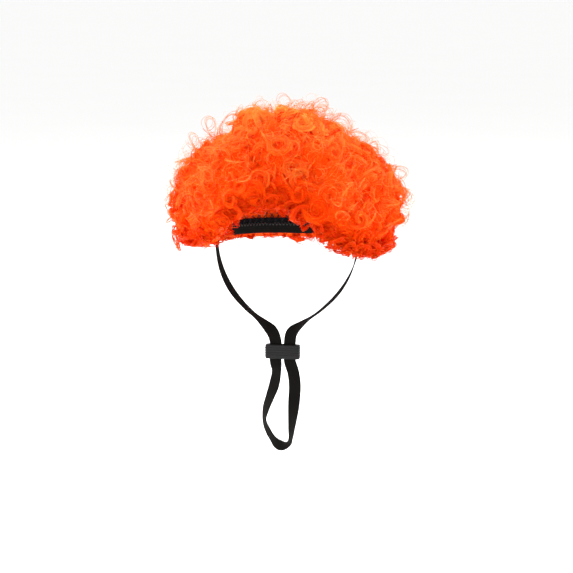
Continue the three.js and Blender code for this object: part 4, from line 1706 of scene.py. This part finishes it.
class PETWIG_OT_stage(bpy.types.Operator):
    """Make the camera, the pale floor and the soft studio light"""

    bl_idname = "pet_wig.stage"
    bl_label = "Stage"

    FLOOR_HALF = 40.0
    FLOOR_PATCHES = 3.0
    FLOOR_DARKER = 0.98
    SENSOR = 36.0
    WORLD_STRENGTH = 1.0
    DIFFUSE_BOUNCES = 10
    # Each light's name, where it is, its size and its power
    LIGHTS = (
        ("top softbox", (-0.20, 0.45, 1.35), 1.3, 18.0),
        ("front fill", (-0.5, -1.7, 0.6), 1.4, 9.5),
        ("left rim", (-1.3, 0.35, 0.45), 1.0, 21.0),
        ("right rim", (1.3, 0.55, 0.45), 1.0, 18.0),
    )

    def execute(self, context):
        stage = context.scene.pet_wig.stage
        self.make_camera(context.scene, stage)
        self.make_floor(context.scene, stage)
        self.make_lights(context.scene, stage)
        context.scene.view_settings.view_transform = "Standard"
        context.scene.cycles.diffuse_bounces = self.DIFFUSE_BOUNCES
        return {"FINISHED"}

    def make_camera(self, scene, stage):
        """The camera, at the photograph's angle."""
        data = bpy.data.cameras.new("camera")
        data.sensor_width = self.SENSOR
        data.lens = self.SENSOR * stage.distance / stage.field
        camera = bpy.data.objects.new("camera", data)
        scene.collection.objects.link(camera)
        back = Vector((
            math.sin(stage.azimuth) * math.cos(stage.elevation),
            -math.cos(stage.azimuth) * math.cos(stage.elevation),
            math.sin(stage.elevation),
        ))
        camera.location = Vector((0, 0, stage.aim_height)) + back * stage.distance
        camera.rotation_euler = (-back).to_track_quat("-Z", "Y").to_euler()
        scene.camera = camera

    def make_floor(self, scene, stage):
        """A wide pale floor under the wig."""
        half, height = self.FLOOR_HALF, stage.floor_height
        mesh = bpy.data.meshes.new("floor")
        corners = [(x * half, y * half, height) for x, y in ((-1, -1), (1, -1), (1, 1), (-1, 1))]
        mesh.from_pydata(corners, [], [(0, 1, 2, 3)])
        material, tree, shader = new_material("pale_floor", Roughness=0.9, Specular_IOR_Level=0.1)
        lint = placed_group(tree, lint_group())
        lint.inputs["Patch Scale"].default_value = self.FLOOR_PATCHES
        darker = opaque(self.FLOOR_DARKER * part for part in stage.floor_colour)
        shade = mixed_colour(tree, lint.outputs["Patch"], opaque(stage.floor_colour), darker)
        tree.links.new(shade, shader.inputs["Base Color"])
        mesh.materials.append(material)
        floor = bpy.data.objects.new("floor", mesh)
        scene.collection.objects.link(floor)

    def make_lights(self, scene, stage):
        """A white surround and soft round lights, aimed where the camera looks."""
        world = bpy.data.worlds.new("studio")
        world.use_nodes = True
        background = world.node_tree.nodes["Background"]
        background.inputs["Color"].default_value = (1, 1, 1, 1)
        background.inputs["Strength"].default_value = self.WORLD_STRENGTH
        scene.world = world
        for name, spot, size, power in self.LIGHTS:
            data = bpy.data.lights.new(name, "AREA")
            data.shape = "DISK"
            data.size = size
            data.energy = power
            light = bpy.data.objects.new(name, data)
            light.location = spot
            aim = Vector((0, 0, stage.aim_height)) - Vector(spot)
            light.rotation_euler = aim.to_track_quat("-Z", "Y").to_euler()
            scene.collection.objects.link(light)


OPERATORS = (
    PETWIG_OT_stage,
    PETWIG_OT_strap_slide,
    PETWIG_OT_chin_strap,
    PETWIG_OT_rim_hem,
    PETWIG_OT_cap,
    PETWIG_OT_hair_mat,
    PETWIG_OT_hair_curls,
    PETWIG_OT_hair_flyaways,
)


class PETWIG_PT_pieces(bpy.types.Panel):
    """The wig's pieces and their settings"""

    bl_label = "Pet Wig"
    bl_idname = "PETWIG_PT_pieces"
    bl_space_type = "VIEW_3D"
    bl_region_type = "UI"
    bl_category = "Pet Wig"

    def draw(self, context):
        for operator in OPERATORS:
            self.layout.operator(operator.bl_idname)
        for group in ("hair", "cap", "strap", "stage"):
            column = self.layout.column(heading=group.title())
            settings = getattr(context.scene.pet_wig, group)
            for name in settings.__annotations__:
                column.prop(settings, name)


SETTINGS = (HairSettings, CapSettings, StrapSettings, StageSettings, WigSettings)
CLASSES = (*SETTINGS, *OPERATORS, PETWIG_PT_pieces)


def register():
    """Adds the add-on's classes to Blender, and its settings to the scene."""
    for item in CLASSES:
        bpy.utils.register_class(item)
    bpy.types.Scene.pet_wig = bpy.props.PointerProperty(type=WigSettings)


def unregister():
    """Takes them out again."""
    del bpy.types.Scene.pet_wig
    for item in reversed(CLASSES):
        bpy.utils.unregister_class(item)


def main():
    """Makes the wig and its stage."""
    register()
    for operator in OPERATORS:
        group, name = operator.bl_idname.split(".")
        getattr(getattr(bpy.ops, group), name)()


if __name__ == "__main__":
    main()
